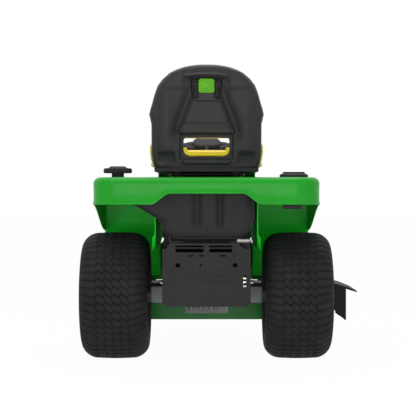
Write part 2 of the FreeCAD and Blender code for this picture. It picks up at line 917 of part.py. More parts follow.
def tank_block(inset):
    """The tank's outside, or its inside at an inset: a body with a wing over the left wheel."""
    i = f"({inset})"
    outline = [
        (f"-tank_wing_x + {i}", f"tank_top - {i}"),
        (f"-tank_wing_x + {i}", f"tank_wing_z + {i}"),
        ("-271", f"617 + {i}"),
        (f"-tank_half + {i}", f"563 + {i}"),
        (f"-162 + {i}", f"515 + {i}"),
        (f"-120 + {i}", f"tank_bottom + {i}"),
        (f"120 - {i}", f"tank_bottom + {i}"),
        (f"162 - {i}", f"515 + {i}"),
        (f"tank_half - {i}", f"563 + {i}"),
        (f"tank_half - {i}", f"tank_top - {i}"),
    ]
    return slab("XZ", outline, f"-tank_back + {i}", f"-tank_front - {i}")


outer = tank_block("0")
rounded(outer, "18", runs_along("Y"))
neck = rod("Z", ("-filler_x", "-filler_y", "tank_top - 2"), "filler_top - tank_top + 2", "filler_radius")
neck_bore = rod("Z", ("-filler_x", "-filler_y", "tank_top - 20"), "filler_top", "filler_radius - 5")
grooves = [box((x, "-tank_back - 1", "tank_bottom - 5"), (f"{x} + 12", "-tank_back + 9", "tank_top + 5"))
           for x in ("-52", "48")]
lugs_up = [rod("Z", (x, "-(tank_back + tank_front) / 2", "tank_top - 2"),
               "fender_top - fender_sheet - tank_top + 2", "12") for x in ("-285", "150")]
sub_part("fuel_tank", cut(fuse(outer, neck, *lugs_up), tank_block("tank_wall + 9"), neck_bore, *grooves))

cap_profile = [
    ("cap_low", "filler_radius + gap"),
    ("cap_low", "cap_radius"),
    ("cap_top - 12", "cap_radius"),
    ("cap_top - 4", "cap_radius - 8"),
    ("cap_top", "cap_radius - 30"),
    ("cap_top", "0"),
    ("filler_top + gap", "0"),
    ("filler_top + gap", "filler_radius + gap"),
]
cap = turned("Z", cap_profile, ("-filler_x", "-filler_y", "0"))
notch = rod("Z", ("cap_radius + 5", "0", "cap_low - 2"), "cap_top - cap_low + 4", "9")
notches = around("Z", notch, range(0, 360, 36), ("-filler_x", "-filler_y", "0"))
sub_part("fuel_cap", cut(cap, notches))


def fender_block(inset):
    """The fender's rounded box, outside or at an inset."""
    i = inset
    low = "fender_skirt" if i == "0" else "fender_skirt - 10"
    block = slab(
        "XY",
        [
            (f"-fender_half + {i}", f"-rear_reach + {i}"),
            (f"fender_half - {i}", f"-rear_reach + {i}"),
            (f"fender_half - {i}", "fender_front"),
            (f"-fender_half + {i}", "fender_front"),
        ],
        low,
        f"fender_top - {i}",
    )
    back_y = value(f"-rear_reach + {i}")

    def rear_upright(edge):
        return runs_along("Z")(edge) and abs(edge.firstVertex().Point.y - back_y) < 0.01

    def top_edge(edge):
        point = edge.CenterOfMass
        at_top = abs(point.z - value(f"fender_top - {i}")) < 0.01
        return at_top and point.y < value("fender_front") - 1

    rounded(block, f"fender_corner - {i}", rear_upright)
    return rounded(block, f"fender_edge - {i}", top_edge)


fender_cavity = fender_block("fender_sheet")
front_room = box(("-fender_half + fender_sheet", "fender_front - 40", "fender_skirt - 10"),
                 ("fender_half - fender_sheet", "fender_front + 5", "fender_top - fender_sheet"))
fender_shell = cut(fender_block("0"), fender_cavity, front_room)
arch = slab(
    "XZ",
    [
        ("-fender_arch_half - 65", "fender_skirt - 2"),
        ("fender_arch_half + 65", "fender_skirt - 2"),
        ("fender_arch_half + 65", "fender_skirt"),
        ("fender_arch_half + 18", "fender_skirt + 14"),
        ("fender_arch_half - 12", "fender_arch"),
        ("-fender_arch_half + 12", "fender_arch"),
        ("-fender_arch_half - 18", "fender_skirt + 14"),
        ("-fender_arch_half - 65", "fender_skirt"),
    ],
    "-rear_reach - 1",
    "-rear_reach + fender_sheet + 1",
)
house_wall = slab(
    "YZ",
    [
        ("-house_rear", "560"),
        ("-house_rear", "fender_top - 2"),
        ("fender_front", "fender_top - 2"),
        ("fender_front", "620"),
        ("toe_y", "deck_floor_top"),
        ("300", "deck_floor_top"),
        ("272", "house_low"),
        ("-100", "house_low"),
    ],
    "house_inner - fender_sheet",
    "house_inner",
)
house_front = slab(
    "YZ",
    [
        ("fender_front - fender_sheet", "fender_top - 2"),
        ("fender_front", "fender_top - 2"),
        ("fender_front", "620"),
        ("toe_y", "deck_floor_top"),
        ("toe_y - fender_sheet - 2", "deck_floor_top"),
        ("fender_front - fender_sheet", "618"),
    ],
    "house_inner - fender_sheet",
    "fender_half",
)
centre_front = box(("-house_inner", "fender_front - fender_sheet", "fender_skirt"),
                   ("house_inner", "fender_front", "fender_top - 2"))
filler_hole = rod("Z", ("-filler_x", "-filler_y", "fender_top - 20"), "40", "filler_radius + 6")
dial_hole = rod("Z", ("dial_x", "-dial_y", "fender_top - 20"), "40", "dial_stem + run")
tank_room = box(("-tank_wing_x - 8", "-tank_back - 6", "556"),
                ("-house_inner + 10", "-tank_front + 4", "fender_top - fender_sheet"))
stud_holes = [rod("Z", (x, y, "fender_top - 20"), "40", "6") for x in ("-90", "90") for y in ("-40", "140")]
sub_part(
    "rear_fender",
    cut(
        fuse(cut(fender_shell, arch), *both(house_wall), *both(house_front), centre_front),
        filler_hole,
        dial_hole,
        tank_room,
        *stud_holes,
    ),
)

dial_low = "fender_top + gap"
dial_disc = [
    (dial_low, "0"),
    (dial_low, "dial_radius"),
    (f"{dial_low} + dial_height - 6", "dial_radius"),
    (f"{dial_low} + dial_height", "dial_radius - 8"),
    (f"{dial_low} + dial_height", "0"),
]
dial_grip = box(("-dial_radius + 14", "-5", "0"), ("dial_radius - 14", "5", "7"))
dial_at = ("dial_x", "-dial_y", "0")
sub_part(
    "cut_height_dial",
    fuse(
        turned("Z", dial_disc, dial_at),
        rod("Z", ("dial_x", "-dial_y", "fender_top - 34"), "36", "dial_stem"),
        moved(dial_grip, ("dial_x", "-dial_y", f"{dial_low} + dial_height - 0.5")),
    ),
)

# ---------------------------------------------------------------- foot deck and dash

floor = box(("tunnel_half", "toe_y", "deck_floor_top - foot_sheet"),
            ("foot_half", "foot_front - 20", "deck_floor_top"))
toe_board = slab(
    "YZ",
    [
        ("foot_front - 22", "deck_floor_top - foot_sheet"),
        ("foot_front - 16", "deck_floor_top - foot_sheet"),
        ("foot_front + 44", "rail_top"),
        ("foot_front + 40", "rail_top + 4"),
        ("foot_front - 22", "deck_floor_top + 2"),
    ],
    "tunnel_half",
    "foot_half",
)
side_lip = box(("foot_half - foot_sheet", "toe_y", "deck_floor_top - foot_lip"),
               ("foot_half", "foot_front - 20", "deck_floor_top"))
tunnel_wall = box(("tunnel_half - foot_sheet", "toe_y", "deck_floor_top - foot_sheet"),
                  ("tunnel_half", "tunnel_end", "tunnel_top"))
front_wall = box(("tunnel_half - foot_sheet", "tunnel_end", "deck_floor_top - foot_sheet"),
                 ("tunnel_half", "foot_front + 40", "rail_top"))
tunnel_roof = box(("-tunnel_half", "toe_y", "tunnel_top - foot_sheet"),
                  ("tunnel_half", "tunnel_end", "tunnel_top"))
lift_hole = rod("X", ("tunnel_half - 10", "lift_y", "lift_z"), "20", "lift_tube + 2")


def lugs(pad_x):
    """Two lugs that carry a pedal's shaft."""
    plates = []
    for low in (f"({pad_x}) - pad_half - 10", f"({pad_x}) + pad_half + 4"):
        plates.append(box((low, "pedal_y - 16", "deck_floor_top - 1"), (f"{low} + 6", "pedal_y + 16",
                          "pedal_z + 16")))
    return plates


def shaft_bores(pad_x):
    return rod("X", (f"({pad_x}) - pad_half - 20", "pedal_y", "pedal_z"), "2 * pad_half + 40",
               "pedal_shaft + run")


PEDALS = (
    ("brake_pedal", "-brake_pad_x"),
    ("forward_pedal", "forward_pad_x"),
    ("reverse_pedal", "reverse_pad_x"),
)
side = fuse(floor, toe_board, side_lip, tunnel_wall, front_wall)
carriers = [plate for _, x in PEDALS for plate in lugs(x)]
bores = [shaft_bores(x) for _, x in PEDALS]
sub_part("foot_deck", cut(fuse(*both(side), tunnel_roof, *carriers), lift_hole, *bores))

for label, x in PEDALS:
    shaft = rod("X", (f"({x}) - pad_half - 11", "pedal_y", "pedal_z"), "2 * pad_half + 22", "pedal_shaft")
    arm = bar((x, "pedal_y", "pedal_z"), (x, "pedal_pad_y", "pedal_pad_z"), "7")
    pad = slab(
        "YZ",
        [
            ("pedal_pad_y - 26", "pedal_pad_z + 34"),
            ("pedal_pad_y - 20", "pedal_pad_z + 38"),
            ("pedal_pad_y + 24", "pedal_pad_z - 22"),
            ("pedal_pad_y + 18", "pedal_pad_z - 26"),
        ],
        f"({x}) - pad_half",
        f"({x}) + pad_half",
    )
    sub_part(label, fuse(shaft, arm, pad))


def dash_block(inset):
    i = inset
    low = "rail_top" if i == "0" else "rail_top - 10"
    return slab(
        "YZ",
        [
            (f"dash_back + {i}", low),
            (f"dash_front - {i}", low),
            (f"dash_front - {i}", f"dash_face_high - {i}"),
            (f"dash_face_y + {i} / 2", f"dash_face_high - {i}"),
            (f"dash_back + {i}", f"dash_face_low - 1.2 * {i}"),
        ],
        f"-dash_half + {i}",
        f"dash_half - {i}",
    )


column_way = ("0", "pinion_y", "coupling_z")
column_hole = place(doc.addObject("Part::Cylinder", "hole"), column_way, tilt="column_tilt")
bind(column_hole, "Radius", "column_tube + 0.3")
bind(column_hole, "Height", "column_length")
lever_slot = box(("throttle_x - 6", "724", "dash_face_low - 20"),
                 ("throttle_x + 6", "770", "dash_face_high + 20"))
knob_bore = rod("Z", ("-pto_x", "748", "dash_face_low - 40"), "150", "4 + run")
key_bore = rod("Z", ("-key_x", "748", "dash_face_low - 40"), "150", "7 + run")
collar_holes = [rod("Z", (x, "748", "dash_face_low"), "60", r)
                for x, r in (("-pto_x", "11"), ("-key_x", "14"))]
lever_pin = rod("X", ("throttle_x - 14", "742", "dash_face_low - 22"), "dash_half - throttle_x + 12", "4")
dash_skin = rounded(dash_block("0"), "22", lambda e: runs_along("Z")(e) and
                    close_to("dash_back", e.CenterOfMass.y))
sub_part(
    "dash_pedestal",
    fuse(cut(dash_skin, dash_block("dash_wall"), column_hole, lever_slot, *collar_holes), lever_pin),
)
face = slab(
    "YZ",
    [
        ("dash_back + 6", "dash_face_low + 5.6"),
        ("dash_face_y", "dash_face_high"),
        ("dash_face_y", "dash_face_high + 6"),
        ("dash_back + 6", "dash_face_low + 11.6"),
    ],
    "-dash_half + 10",
    "dash_half - 10",
)
collars = [rod("Z", (x, "748", "dash_face_low + 28"), "38", r)
           for x, r in (("-pto_x", "11"), ("-key_x", "14"))]
sub_part("dash_panel", cut(fuse(face, *collars), lever_slot, knob_bore, key_bore))
lever_pivot = ("throttle_x", "742", "dash_face_low - 22")
lever_rod = rod("Z", lever_pivot, "throttle_length + 40", "3")
lever_boss = rod("X", ("throttle_x - 8", "742", "dash_face_low - 22"), "16", "9")
lever_grip = box(("throttle_x - 9", "737", "dash_face_low + 72"), ("throttle_x + 9", "747",
                 "dash_face_low + 100"))
pivot_hole = rod("X", ("throttle_x - 20", "742", "dash_face_low - 22"), "40", "4 + run")
sub_part("throttle_lever", cut(fuse(lever_rod, lever_boss, lever_grip), pivot_hole))
top_z = "dash_face_low + 66"
knob = rod("Z", ("-pto_x", "748", f"{top_z} + gap"), "16", "knob_radius")
sub_part("pto_knob", fuse(knob, rod("Z", ("-pto_x", "748", "dash_face_low - 20"), "90", "4")))
key_stem = rod("Z", ("-key_x", "748", "dash_face_low + 20"), "50", "7")
key_bow = box(("-key_x - 12", "746.5", "dash_face_low + 69"), ("-key_x + 12", "749.5", "dash_face_low + 92"))
sub_part("ignition_key", fuse(key_stem, key_bow))

# ---------------------------------------------------------------- steering

low_z = "sector_z - gear_thick / 2"
teeth = int(value("pinion_teeth"))
ring_teeth = int(value("sector_teeth"))
module = value("tooth_module")
pinion_r = module * teeth / 2
pinion_gear = gear_solid(
    gear_outline(teeth, pinion_r + module, pinion_r - 1.2 * module, 0.12, 0, teeth - 1),
    0, value("gear_thick"),
)
shaft_low = "sector_z - gear_thick / 2 - 2"
pinion_shaft = rod("Z", ("0", "pinion_y", shaft_low), f"coupling_z - 16 - ({shaft_low})", "steer_shaft")
cup = [
    ("coupling_z - 20", "0"),
    ("coupling_z - 20", "coupling_radius"),
    ("coupling_z + 2", "coupling_radius"),
    ("coupling_z + 2", "coupling_radius - 5.2"),
    ("coupling_z - 13", "coupling_radius - 5.2"),
    ("coupling_z - 13", "0"),
]
sub_part(
    "pinion_shaft",
    fuse(moved(pinion_gear, ("0", "pinion_y", low_z)), pinion_shaft,
         turned("Z", cup, ("0", "pinion_y", "0"))),
)

ring_r = module * ring_teeth / 2
side_teeth = int(ring_teeth * 52 / 360)
cutter_points = gear_outline(ring_teeth, ring_r + 1.25 * module, ring_r - 0.55 * module, -0.06,
                             -side_teeth, side_teeth)
cutter_points.append(FreeCAD.Vector(0, 0, 0))
tooth_spaces = gear_solid(cutter_points, -1, value("gear_thick") + 2)
ring = rod("Z", ("0", "0", "0"), "gear_thick", "tooth_module * sector_teeth / 2 + 13")
wedge = slab(
    "XY",
    [("0", "0"), ("62", "-130"), ("130", "-110"), ("130", "110"), ("62", "130")],
    "-1",
    "gear_thick + 1",
)
hub_disc = rod("Z", ("0", "0", "0"), "gear_thick", "arm_radius + 9")
hub_bore = rod("Z", ("0", "0", "-5"), "gear_thick + 10", "8 + run")
pin_low = "-(sector_z - gear_thick / 2 - link_z) - 11"
arm_pin = rod("Z", ("arm_radius", "0", pin_low), f"1 - ({pin_low})", "joint_pin")
pin_head = rod("Z", ("arm_radius", "0", f"{pin_low} - 3"), "3", "joint_pin + 4")
spokes = [around("Z", box(("20", "-8", "0"), ("tooth_module * sector_teeth / 2 + 6", "8", "gear_thick")),
                 (angle,), ("0", "0", "0")) for angle in (-60, 60)]
toothed = cut(common(ring, wedge), tooth_spaces)
sub_part(
    "steering_sector",
    moved(cut(fuse(toothed, hub_disc, *spokes, arm_pin, pin_head), hub_bore), (sector_at, "pinion_y", low_z)),
)

column_top = "coupling_z + column_length * cos(column_tilt)"
column_back = "pinion_y - column_length * sin(column_tilt)"
shaft_up = rod("Z", ("0", "0", "0"), "column_length", "steer_shaft")
sub_part(
    "steering_shaft",
    moved(fuse(shaft_up, ball(("0", "0", "0"), "coupling_radius - 6")), column_way, "column_tilt"),
)
tube = cut(
    rod("Z", ("0", "0", "column_tube_low"), "column_tube_high - column_tube_low", "column_tube"),
    rod("Z", ("0", "0", "0"), "column_length", "steer_shaft + run"),
)
sub_part("steering_column", moved(tube, column_way, "column_tilt"))
spoke = rod("X", ("12", "0", "0"), "wheel_radius - 14", "8")
spoke_ring = around("Z", spoke, (-90, 30, 150), ("0", "0", "0"))
hub = cut(
    rod("Z", ("0", "0", "-24"), "36", "wheel_hub"),
    rod("Z", ("0", "0", "-30"), "30.5", "steer_shaft"),
)
boot = cut(rod("Z", ("0", "0", "-58"), "36", "21"), rod("Z", ("0", "0", "-60"), "40", "steer_shaft"))
clear = rod("Z", ("0", "0", "-60"), "60.5", "steer_shaft")
sub_part(
    "steering_wheel",
    moved(
        cut(fuse(torus("wheel_radius", "wheel_grip"), spoke_ring, hub, boot), clear),
        ("0", column_back, column_top),
        "column_tilt",
    ),
)

# ---------------------------------------------------------------- front axle

beam = slab(
    "XZ",
    [
        ("-kingpin_x", "boss_low + 8"),
        ("-kingpin_x + 45", "boss_low + 8"),
        ("-44", "pivot_z - 30"),
        ("44", "pivot_z - 30"),
        ("kingpin_x - 45", "boss_low + 8"),
        ("kingpin_x", "boss_low + 8"),
        ("kingpin_x", "boss_high - 8"),
        ("kingpin_x - 30", "boss_high - 8"),
        ("30", "pivot_z + 16"),
        ("-30", "pivot_z + 16"),
        ("-kingpin_x + 30", "boss_high - 8"),
        ("-kingpin_x", "boss_high - 8"),
    ],
    "wheelbase - beam_half",
    "wheelbase + beam_half",
)
bosses = both(rod("Z", ("kingpin_x", "wheelbase", "boss_low"), "boss_high - boss_low", "boss_radius"))
pin_bores = both(rod("Z", ("kingpin_x", "wheelbase", "boss_low - 5"), "90", "kingpin_radius + run"))
centre_boss = rod("Y", ("0", "wheelbase - 33", "pivot_z"), "66", "22")
centre_bore = rod("Y", ("0", "wheelbase - 60", "pivot_z"), "120", "pivot_radius + run")
sub_part("front_axle", cut(fuse(beam, *bosses, centre_boss), *pin_bores, centre_bore))


def knuckle():
    """Kingpin, spindle and arm block of the right front wheel."""
    kingpin = rod("Z", ("kingpin_x", "wheelbase", "190"), "arm_z + arm_thick / 2 + 2 - 190", "kingpin_radius")
    block = box(("kingpin_x - 20", "wheelbase - 20", "front_tyre_radius - 18"),
                ("kingpin_x + 20", "wheelbase + 20", "boss_low - 2"))
    spindle = rod("X", ("kingpin_x", "wheelbase", "front_tyre_radius"), "front_wheel_x - kingpin_x + 72",
                  "spindle_radius")
    washer = rod("X", ("front_wheel_x + front_hub_outer + 2", "wheelbase", "front_tyre_radius"), "4",
                 "spindle_radius + 7")
    arm = box(("kingpin_x - 14", "wheelbase - tie_arm - 12", "arm_z - arm_thick / 2 + 1.5"),
              ("kingpin_x + 14", "wheelbase + 20", "arm_z + arm_thick / 2"))
    tie_pin = rod("Z", ("kingpin_x", "wheelbase - tie_arm", "tie_z - 8"), "arm_z - tie_z + 8", "joint_pin")
    tie_head = rod("Z", ("kingpin_x", "wheelbase - tie_arm", "tie_z - 11"), "3", "joint_pin + 4")
    return fuse(kingpin, block, spindle, washer, arm, tie_pin, tie_head)


sub_part("knuckle_right", knuckle())
link_arm = box(("-kingpin_x", "wheelbase - 13", "arm_z - arm_thick / 2 + 1.5"),
               ("-kingpin_x + arm_radius + 12", "wheelbase + 13", "arm_z + arm_thick / 2"))
link_pin = rod("Z", ("-kingpin_x + arm_radius", "wheelbase", "arm_z"), "link_z + 8 - arm_z", "joint_pin")
link_head = rod("Z", ("-kingpin_x + arm_radius", "wheelbase", "link_z + 8"), "3", "joint_pin + 4")
sub_part("knuckle_left", fuse(mirrored(knuckle()), link_arm, link_pin, link_head))

tie_y = "wheelbase - tie_arm"
tie_run = rod("X", ("-kingpin_x + 9", tie_y, "tie_z"), "2 * kingpin_x - 18", "6")
tie_eyes = both(rod("Z", ("kingpin_x", tie_y, "tie_z - eye_thick / 2"), "eye_thick", "eye_radius"))
tie_bores = both(rod("Z", ("kingpin_x", tie_y, "tie_z - 20"), "40", "joint_pin + run"))
sub_part("tie_rod", cut(fuse(tie_run, *tie_eyes), *tie_bores))

link_from = ("-kingpin_x + arm_radius", "wheelbase", "link_z")
link_to = (f"({sector_at}) + arm_radius", "pinion_y", "link_z")
link_run = bar(link_from, link_to, "link_rod", way="Z")
link_eyes = [rod("Z", (x, y, f"{z} - eye_thick / 2"), "eye_thick", "eye_radius")
             for x, y, z in (link_from, link_to)]
link_bores = [rod("Z", (x, y, f"{z} - 20"), "40", r) for (x, y, z), r in
              ((link_from, "joint_pin + run"), (link_to, "joint_pin + open_pin_gap"))]
sub_part("drag_link", cut(fuse(link_run, *link_eyes), *link_bores))

# ---------------------------------------------------------------- engine

crankcase = slab(
    "XY",
    [
        ("-engine_half", "engine_back + 30"),
        ("-engine_half + 30", "engine_back"),
        ("engine_half - 30", "engine_back"),
        ("engine_half", "engine_back + 30"),
        ("engine_half", "engine_front - 40"),
        ("engine_half - 40", "engine_front"),
        ("-engine_half + 40", "engine_front"),
        ("-engine_half", "engine_front - 40"),
    ],
    "rail_top + 5",
    "engine_top",
)
cylinders = [
    box((x, "engine_front - 120", "rail_top + 70"), (f"{x} + 74", "engine_front + 55", "engine_top - 30"))
    for x in ("-96", "22")
]
crank_bore = rod("Z", ("0", "crank_y", "rail_top - 20"), "400", "crank_radius + run")
sub_part("engine_block", cut(fuse(crankcase, *cylinders), crank_bore))
shroud = rod("Z", ("0", "crank_y", "engine_top"), "shroud_top - engine_top", "shroud_radius")
shroud_room = rod("Z", ("0", "crank_y", "engine_top + 6"), "400", "screen_radius + 8")
shroud_bore = rod("Z", ("0", "crank_y", "engine_top - 20"), "60", "crank_radius + 8")
filter_box = box(("-120", "crank_y + 60", "engine_top"), ("120", "crank_y + 215", "shroud_top - 40"))
sub_part("blower_housing", cut(fuse(shroud, filter_box), shroud_room, shroud_bore))
can = cut(
    rod("X", ("-muffler_half", "muffler_y", "rail_top + 130"), "2 * muffler_half", "muffler_radius"),
    rod("X", ("-muffler_half + 3", "muffler_y", "rail_top + 130"), "2 * muffler_half - 6",
        "muffler_radius - 3"),
)
pipe = rod("Y", ("-59", "engine_front + 55", "rail_top + 130"), "muffler_y - engine_front - 55", "16")
pipes = fuse(pipe, rod("Y", ("59", "engine_front + 55", "rail_top + 130"),
                       "muffler_y - engine_front - 55", "16"))
stand = box(("-60", "muffler_y - 4", "rail_top"), ("60", "muffler_y + 4", "rail_top + 90"))
stand_foot = box(("-rail_half", "muffler_y - 25", "rail_top"),
                 ("rail_half", "muffler_y + 25", "rail_top + 5"))
sub_part("muffler", fuse(can, pipes, stand, stand_foot))
battery = box(("-95", "20", "tray_top + 40"), ("95", "150", "tray_top + 190"))
battery_lid = box(("-98", "17", "tray_top + 190"), ("98", "153", "tray_top + 204"))
posts = [rod("Z", (x, "40", "tray_top + 204"), "14", "8") for x in ("-70", "70")]
battery_tray = box((f"-({inner})", "10", "tray_top + 34"), (inner, "160", "tray_top + 40"))
battery_feet = both(box((inner, "10", "rail_top + 40"), ("rail_half", "160", "tray_top + 40")))
sub_part("battery", fuse(battery, battery_lid, battery_tray, *battery_feet, *posts))

crank_low = rod("Z", ("0", "crank_y", "pto_low"), "shroud_top - 10 - pto_low", "crank_radius")
screen = fuse(rod("Z", ("0", "crank_y", "engine_top + 20"), "22", "screen_radius"),
              rod("Z", ("0", "crank_y", "shroud_top - 14"), "18", "screen_radius"))
sub_part(
    "crankshaft",
    fuse(crank_low, pulley("drive_sheave_radius", "belt_z", ("0", "crank_y", "0")), screen),
)
belt("drive_belt", [("0", "input_y", "input_pulley_radius"), ("0", "crank_y", "drive_sheave_radius")],
     "belt_z")

# ---------------------------------------------------------------- hood


def hood_block(inset):
    i = inset
    low = "hood_low" if i == "0" else "hood_low - 10"
    back = "hood_back" if i == "0" else "hood_back - 10"
    body = slab(
        "YZ",
        [
            (back, low),
            (f"front_reach - grille_thick - {i}", low),
            (f"front_reach - grille_thick - {i}", f"hood_nose_z - {i} / 2"),
            (f"hood_nose_y - {i}", f"hood_front_top - 30 - {i} / 2"),
            (f"hood_nose_y - 62 - {i} / 2", f"hood_front_top - {i}"),
            (back, f"hood_back_top - {i}"),
        ],
        f"-hood_half + {i}",
        f"hood_half - {i}",
    )
    half, floor_z = value(f"hood_half - {i}"), value(low)

    def shoulder(edge):
        point = edge.CenterOfMass
        return abs(abs(point.x) - half) < 0.01 and point.z > floor_z + 1 and point.y > value(back) + 1

    return rounded(body, f"hood_round - {i}", shoulder)


grille_window = box(("-grille_half", "front_reach - 40", "grille_low"), ("grille_half", "front_reach + 5",
                    "grille_high"))
lamp_windows = both(box(("lamp_inner", "front_reach - 40", "lamp_low"), ("lamp_outer - 30",
                        "front_reach + 5", "lamp_high")))
hood_ears = both(box(("rail_half + 4", "hood_hinge_y - 14", "hood_hinge_z - 14"),
                     ("hood_half - 2", "hood_hinge_y + 14", "hood_hinge_z + 4")))
hood_pins = both(rod("X", ("rail_half - 20", "hood_hinge_y", "hood_hinge_z"), "30", "hood_pin - run"))
hood_shell = cut(hood_block("0"), hood_block("hood_sheet"), grille_window, *lamp_windows)
sub_part("hood", fuse(hood_shell, *hood_ears, *hood_pins))
frame_bar = box(("-grille_half", "front_reach - grille_thick - 6", "grille_low"),
                ("grille_half", "front_reach - 2", "grille_high"))
gaps = [box(("-grille_half + 12", "front_reach - 60", z),
            ("grille_half - 12", "front_reach + 5", f"{z} + 12"))
        for z in [f"grille_low + {12 + 20 * k}" for k in range(8)]]
bumper = box(("-grille_half + 20", "front_reach - 6", "grille_high - 22"), ("grille_half - 20",
             "front_reach", "grille_high - 6"))
lens = box(("lamp_inner", "front_reach - grille_thick - 8", "lamp_low"), ("lamp_outer - 30",
           "front_reach - 3", "lamp_high"))
sub_part("grille", group(cut(fuse(frame_bar, bumper), *gaps), *both(lens)))

# ---------------------------------------------------------------- seat

ear_low = "fender_top"
ears = both(box(("carriage_half + 3", "seat_hinge_y - 9", ear_low), ("carriage_half + 9",
                "seat_hinge_y + 7", "seat_hinge_z")))
ear_tops = both(rod("X", ("carriage_half + 3", "seat_hinge_y", "seat_hinge_z"), "6", "9"))
hinge_pin = rod("X", ("-carriage_half - 12", "seat_hinge_y", "seat_hinge_z"), "2 * carriage_half + 24",
                "seat_pin")
sub_part("seat_hinge", fuse(*ears, *ear_tops, hinge_pin))
barrel = rod("X", ("-carriage_half", "seat_hinge_y", "seat_hinge_z"), "2 * carriage_half", "8")
barrel_bore = rod("X", ("-carriage_half - 5", "seat_hinge_y", "seat_hinge_z"), "2 * carriage_half + 10",
                  "seat_pin + run")
tray_plate = box(("-carriage_half", "-carriage_back", "carriage_low"), ("carriage_half",
                 "seat_hinge_y - 2", "carriage_low + carriage_sheet"))
deck_z = "carriage_low + carriage_sheet"
runners = both(box(("runner_x - runner_half", "-carriage_back", deck_z), ("runner_x + runner_half",
                   "seat_hinge_y - 22", f"{deck_z} + runner_height")))
feet = both(rod("Z", ("110", "-carriage_back + 22", "fender_top + gap"), "carriage_low - fender_top - gap",
                "13"))
sub_part("seat_carriage", cut(fuse(barrel, tray_plate, *runners, *feet), barrel_bore))
pan_z = f"{deck_z} + runner_height + gap"
pan = box(("-seat_pan_half", "-seat_pan_back", pan_z), ("seat_pan_half", "seat_pan_front",
          f"{pan_z} + seat_pan_thick"))
keepers = [
    piece
    for low in ("runner_x - runner_half - 5", "runner_x + runner_half + 1")
    for piece in both(box((low, "-carriage_back + 55", f"{deck_z} + 1"), (f"{low} + 4",
                          "seat_hinge_y - 90", f"{pan_z} + 1")))
]
lean = "back_lean / (back_top - back_low)"


def back_slice(front, depth, low, high):
    """A leaning slab of the backrest: its rear face is 'front' ahead of the shell's rear face."""
    def at(z, ahead):
        return (f"-back_rear + {ahead} - ({lean}) * (({z}) - back_low)", z)

    ahead = f"{front} + {depth}"
    return slab("YZ", [at(low, front), at(low, ahead), at(high, ahead), at(high, front)],
                "-back_half - 5", "back_half + 5")


def back_outline(inset, low, y_low, y_high):
    """The backrest's outline from behind, run along Y."""
    right = [
        ("back_half - 14", low),
        ("back_half - 8", "790"),
        ("back_half - 4", "830"),
        ("back_half - 8", "870"),
        ("back_half - 8", "950"),
        ("back_half", "978"),
        ("back_half - 8", "1012"),
        ("back_half - 22", "1050"),
        ("back_half - 34", "back_top - 72"),
        ("back_half - 56", "back_top - 50"),
        ("back_half - 86", "back_top - 26"),
        ("back_half - 140", "back_top - 10"),
        ("60", "back_top"),
    ]
    points = [(f"{x} - {inset}", z if k == 0 else f"{z} - {inset}") for k, (x, z) in enumerate(right)]
    return slab("XZ", points + [(f"-({x})", z) for x, z in reversed(points)], y_low, y_high)


seat_window = box(("-window_half", "-back_rear - back_lean - 60", "window_low"),
                  ("window_half", "60", "window_high"))
shell_low = f"{pan_z} + seat_pan_thick"
shell = cut(
    common(back_slice("0", "back_shell", shell_low, "back_top + 5"),
           back_outline("0", shell_low, "-back_rear - back_lean - 60", "80")),
    seat_window,
)
sub_part("seat_base", fuse(pan, *keepers))
sub_part("seat_back_shell", shell)
back_pad_body = cut(
    common(back_slice("back_shell", "back_pad", f"{shell_low} + 12", "back_top"),
           back_outline("14", f"{shell_low} + 12", "-back_rear - back_lean - 60", "120")),
    seat_window,
)
sub_part("back_cushion", back_pad_body)
cushion = slab(
    "XY",
    [
        ("-cushion_half", "-cushion_back + 40"),
        ("-cushion_half + 40", "-cushion_back"),
        ("cushion_half - 40", "-cushion_back"),
        ("cushion_half", "-cushion_back + 40"),
        ("cushion_half", "cushion_front - 70"),
        ("cushion_half - 70", "cushion_front"),
        ("-cushion_half + 70", "cushion_front"),
        ("-cushion_half", "cushion_front - 70"),
    ],
    f"{pan_z} + seat_pan_thick",
    "cushion_top",
)
rounded(cushion, "20", lambda e: close_to("cushion_top", e.CenterOfMass.z))
sub_part("seat_cushion", cushion)

# ---------------------------------------------------------------- mowing deck


def deck_block(inset):
    """The deck's outline, cut off at the corners, outside or at an inset."""
    i = inset
    low = "deck_low" if i == "0" else "deck_low - 10"
    c, d = "deck_corner", "80"
    outline = [
        (f"-deck_half + {c}", f"deck_back + {i}"),
        ("deck_half - 130", f"deck_back + {i}"),
        (f"deck_half - {i}", "deck_back + 130"),
        (f"deck_half - {i}", f"deck_front - {d}"),
        (f"deck_half - {d}", f"deck_front - {i}"),
        (f"-deck_half + {d}", f"deck_front - {i}"),
        (f"-deck_half + {i}", f"deck_front - {d}"),
        (f"-deck_half + {i}", f"deck_back + {c}"),
    ]
    body = slab("XY", outline, low, f"deck_top - {i}")
    return rounded(body, f"40 - {i}", runs_along("Z"))


mouth = box(("deck_half - 30", "mouth_back", "deck_low - 5"), ("deck_half + 10", "mouth_front",
            "deck_top - 12"))
spindle_at = ("spindle_x", "spindle_y", "0")
housing = [
    ("deck_top - 36", "spindle_shaft + run"),
    ("deck_top - 36", "spindle_housing - 6"),
    ("deck_top - deck_sheet", "spindle_housing - 6"),
    ("deck_top - deck_sheet", "spindle_housing + 10"),
    ("deck_top", "spindle_housing + 30"),
    ("deck_top + 5", "spindle_housing + 30"),
    ("deck_top + 6", "spindle_housing"),
    ("deck_belt_z - 11", "spindle_housing - 8"),
    ("deck_belt_z - 11", "spindle_shaft + run"),
]
housings = both(turned("Z", housing, spindle_at))
housing_holes = both(rod("Z", ("spindle_x", "spindle_y", "deck_top - 20"), "40", "spindle_housing - 8"))
nose = box(("-52", "deck_front - 70", "deck_top"), ("52", "crank_y + 34", "deck_top + 6"))
nose_ring = rod("Z", ("0", "crank_y", "deck_top - 12"), "30", "pto_hub + 12")
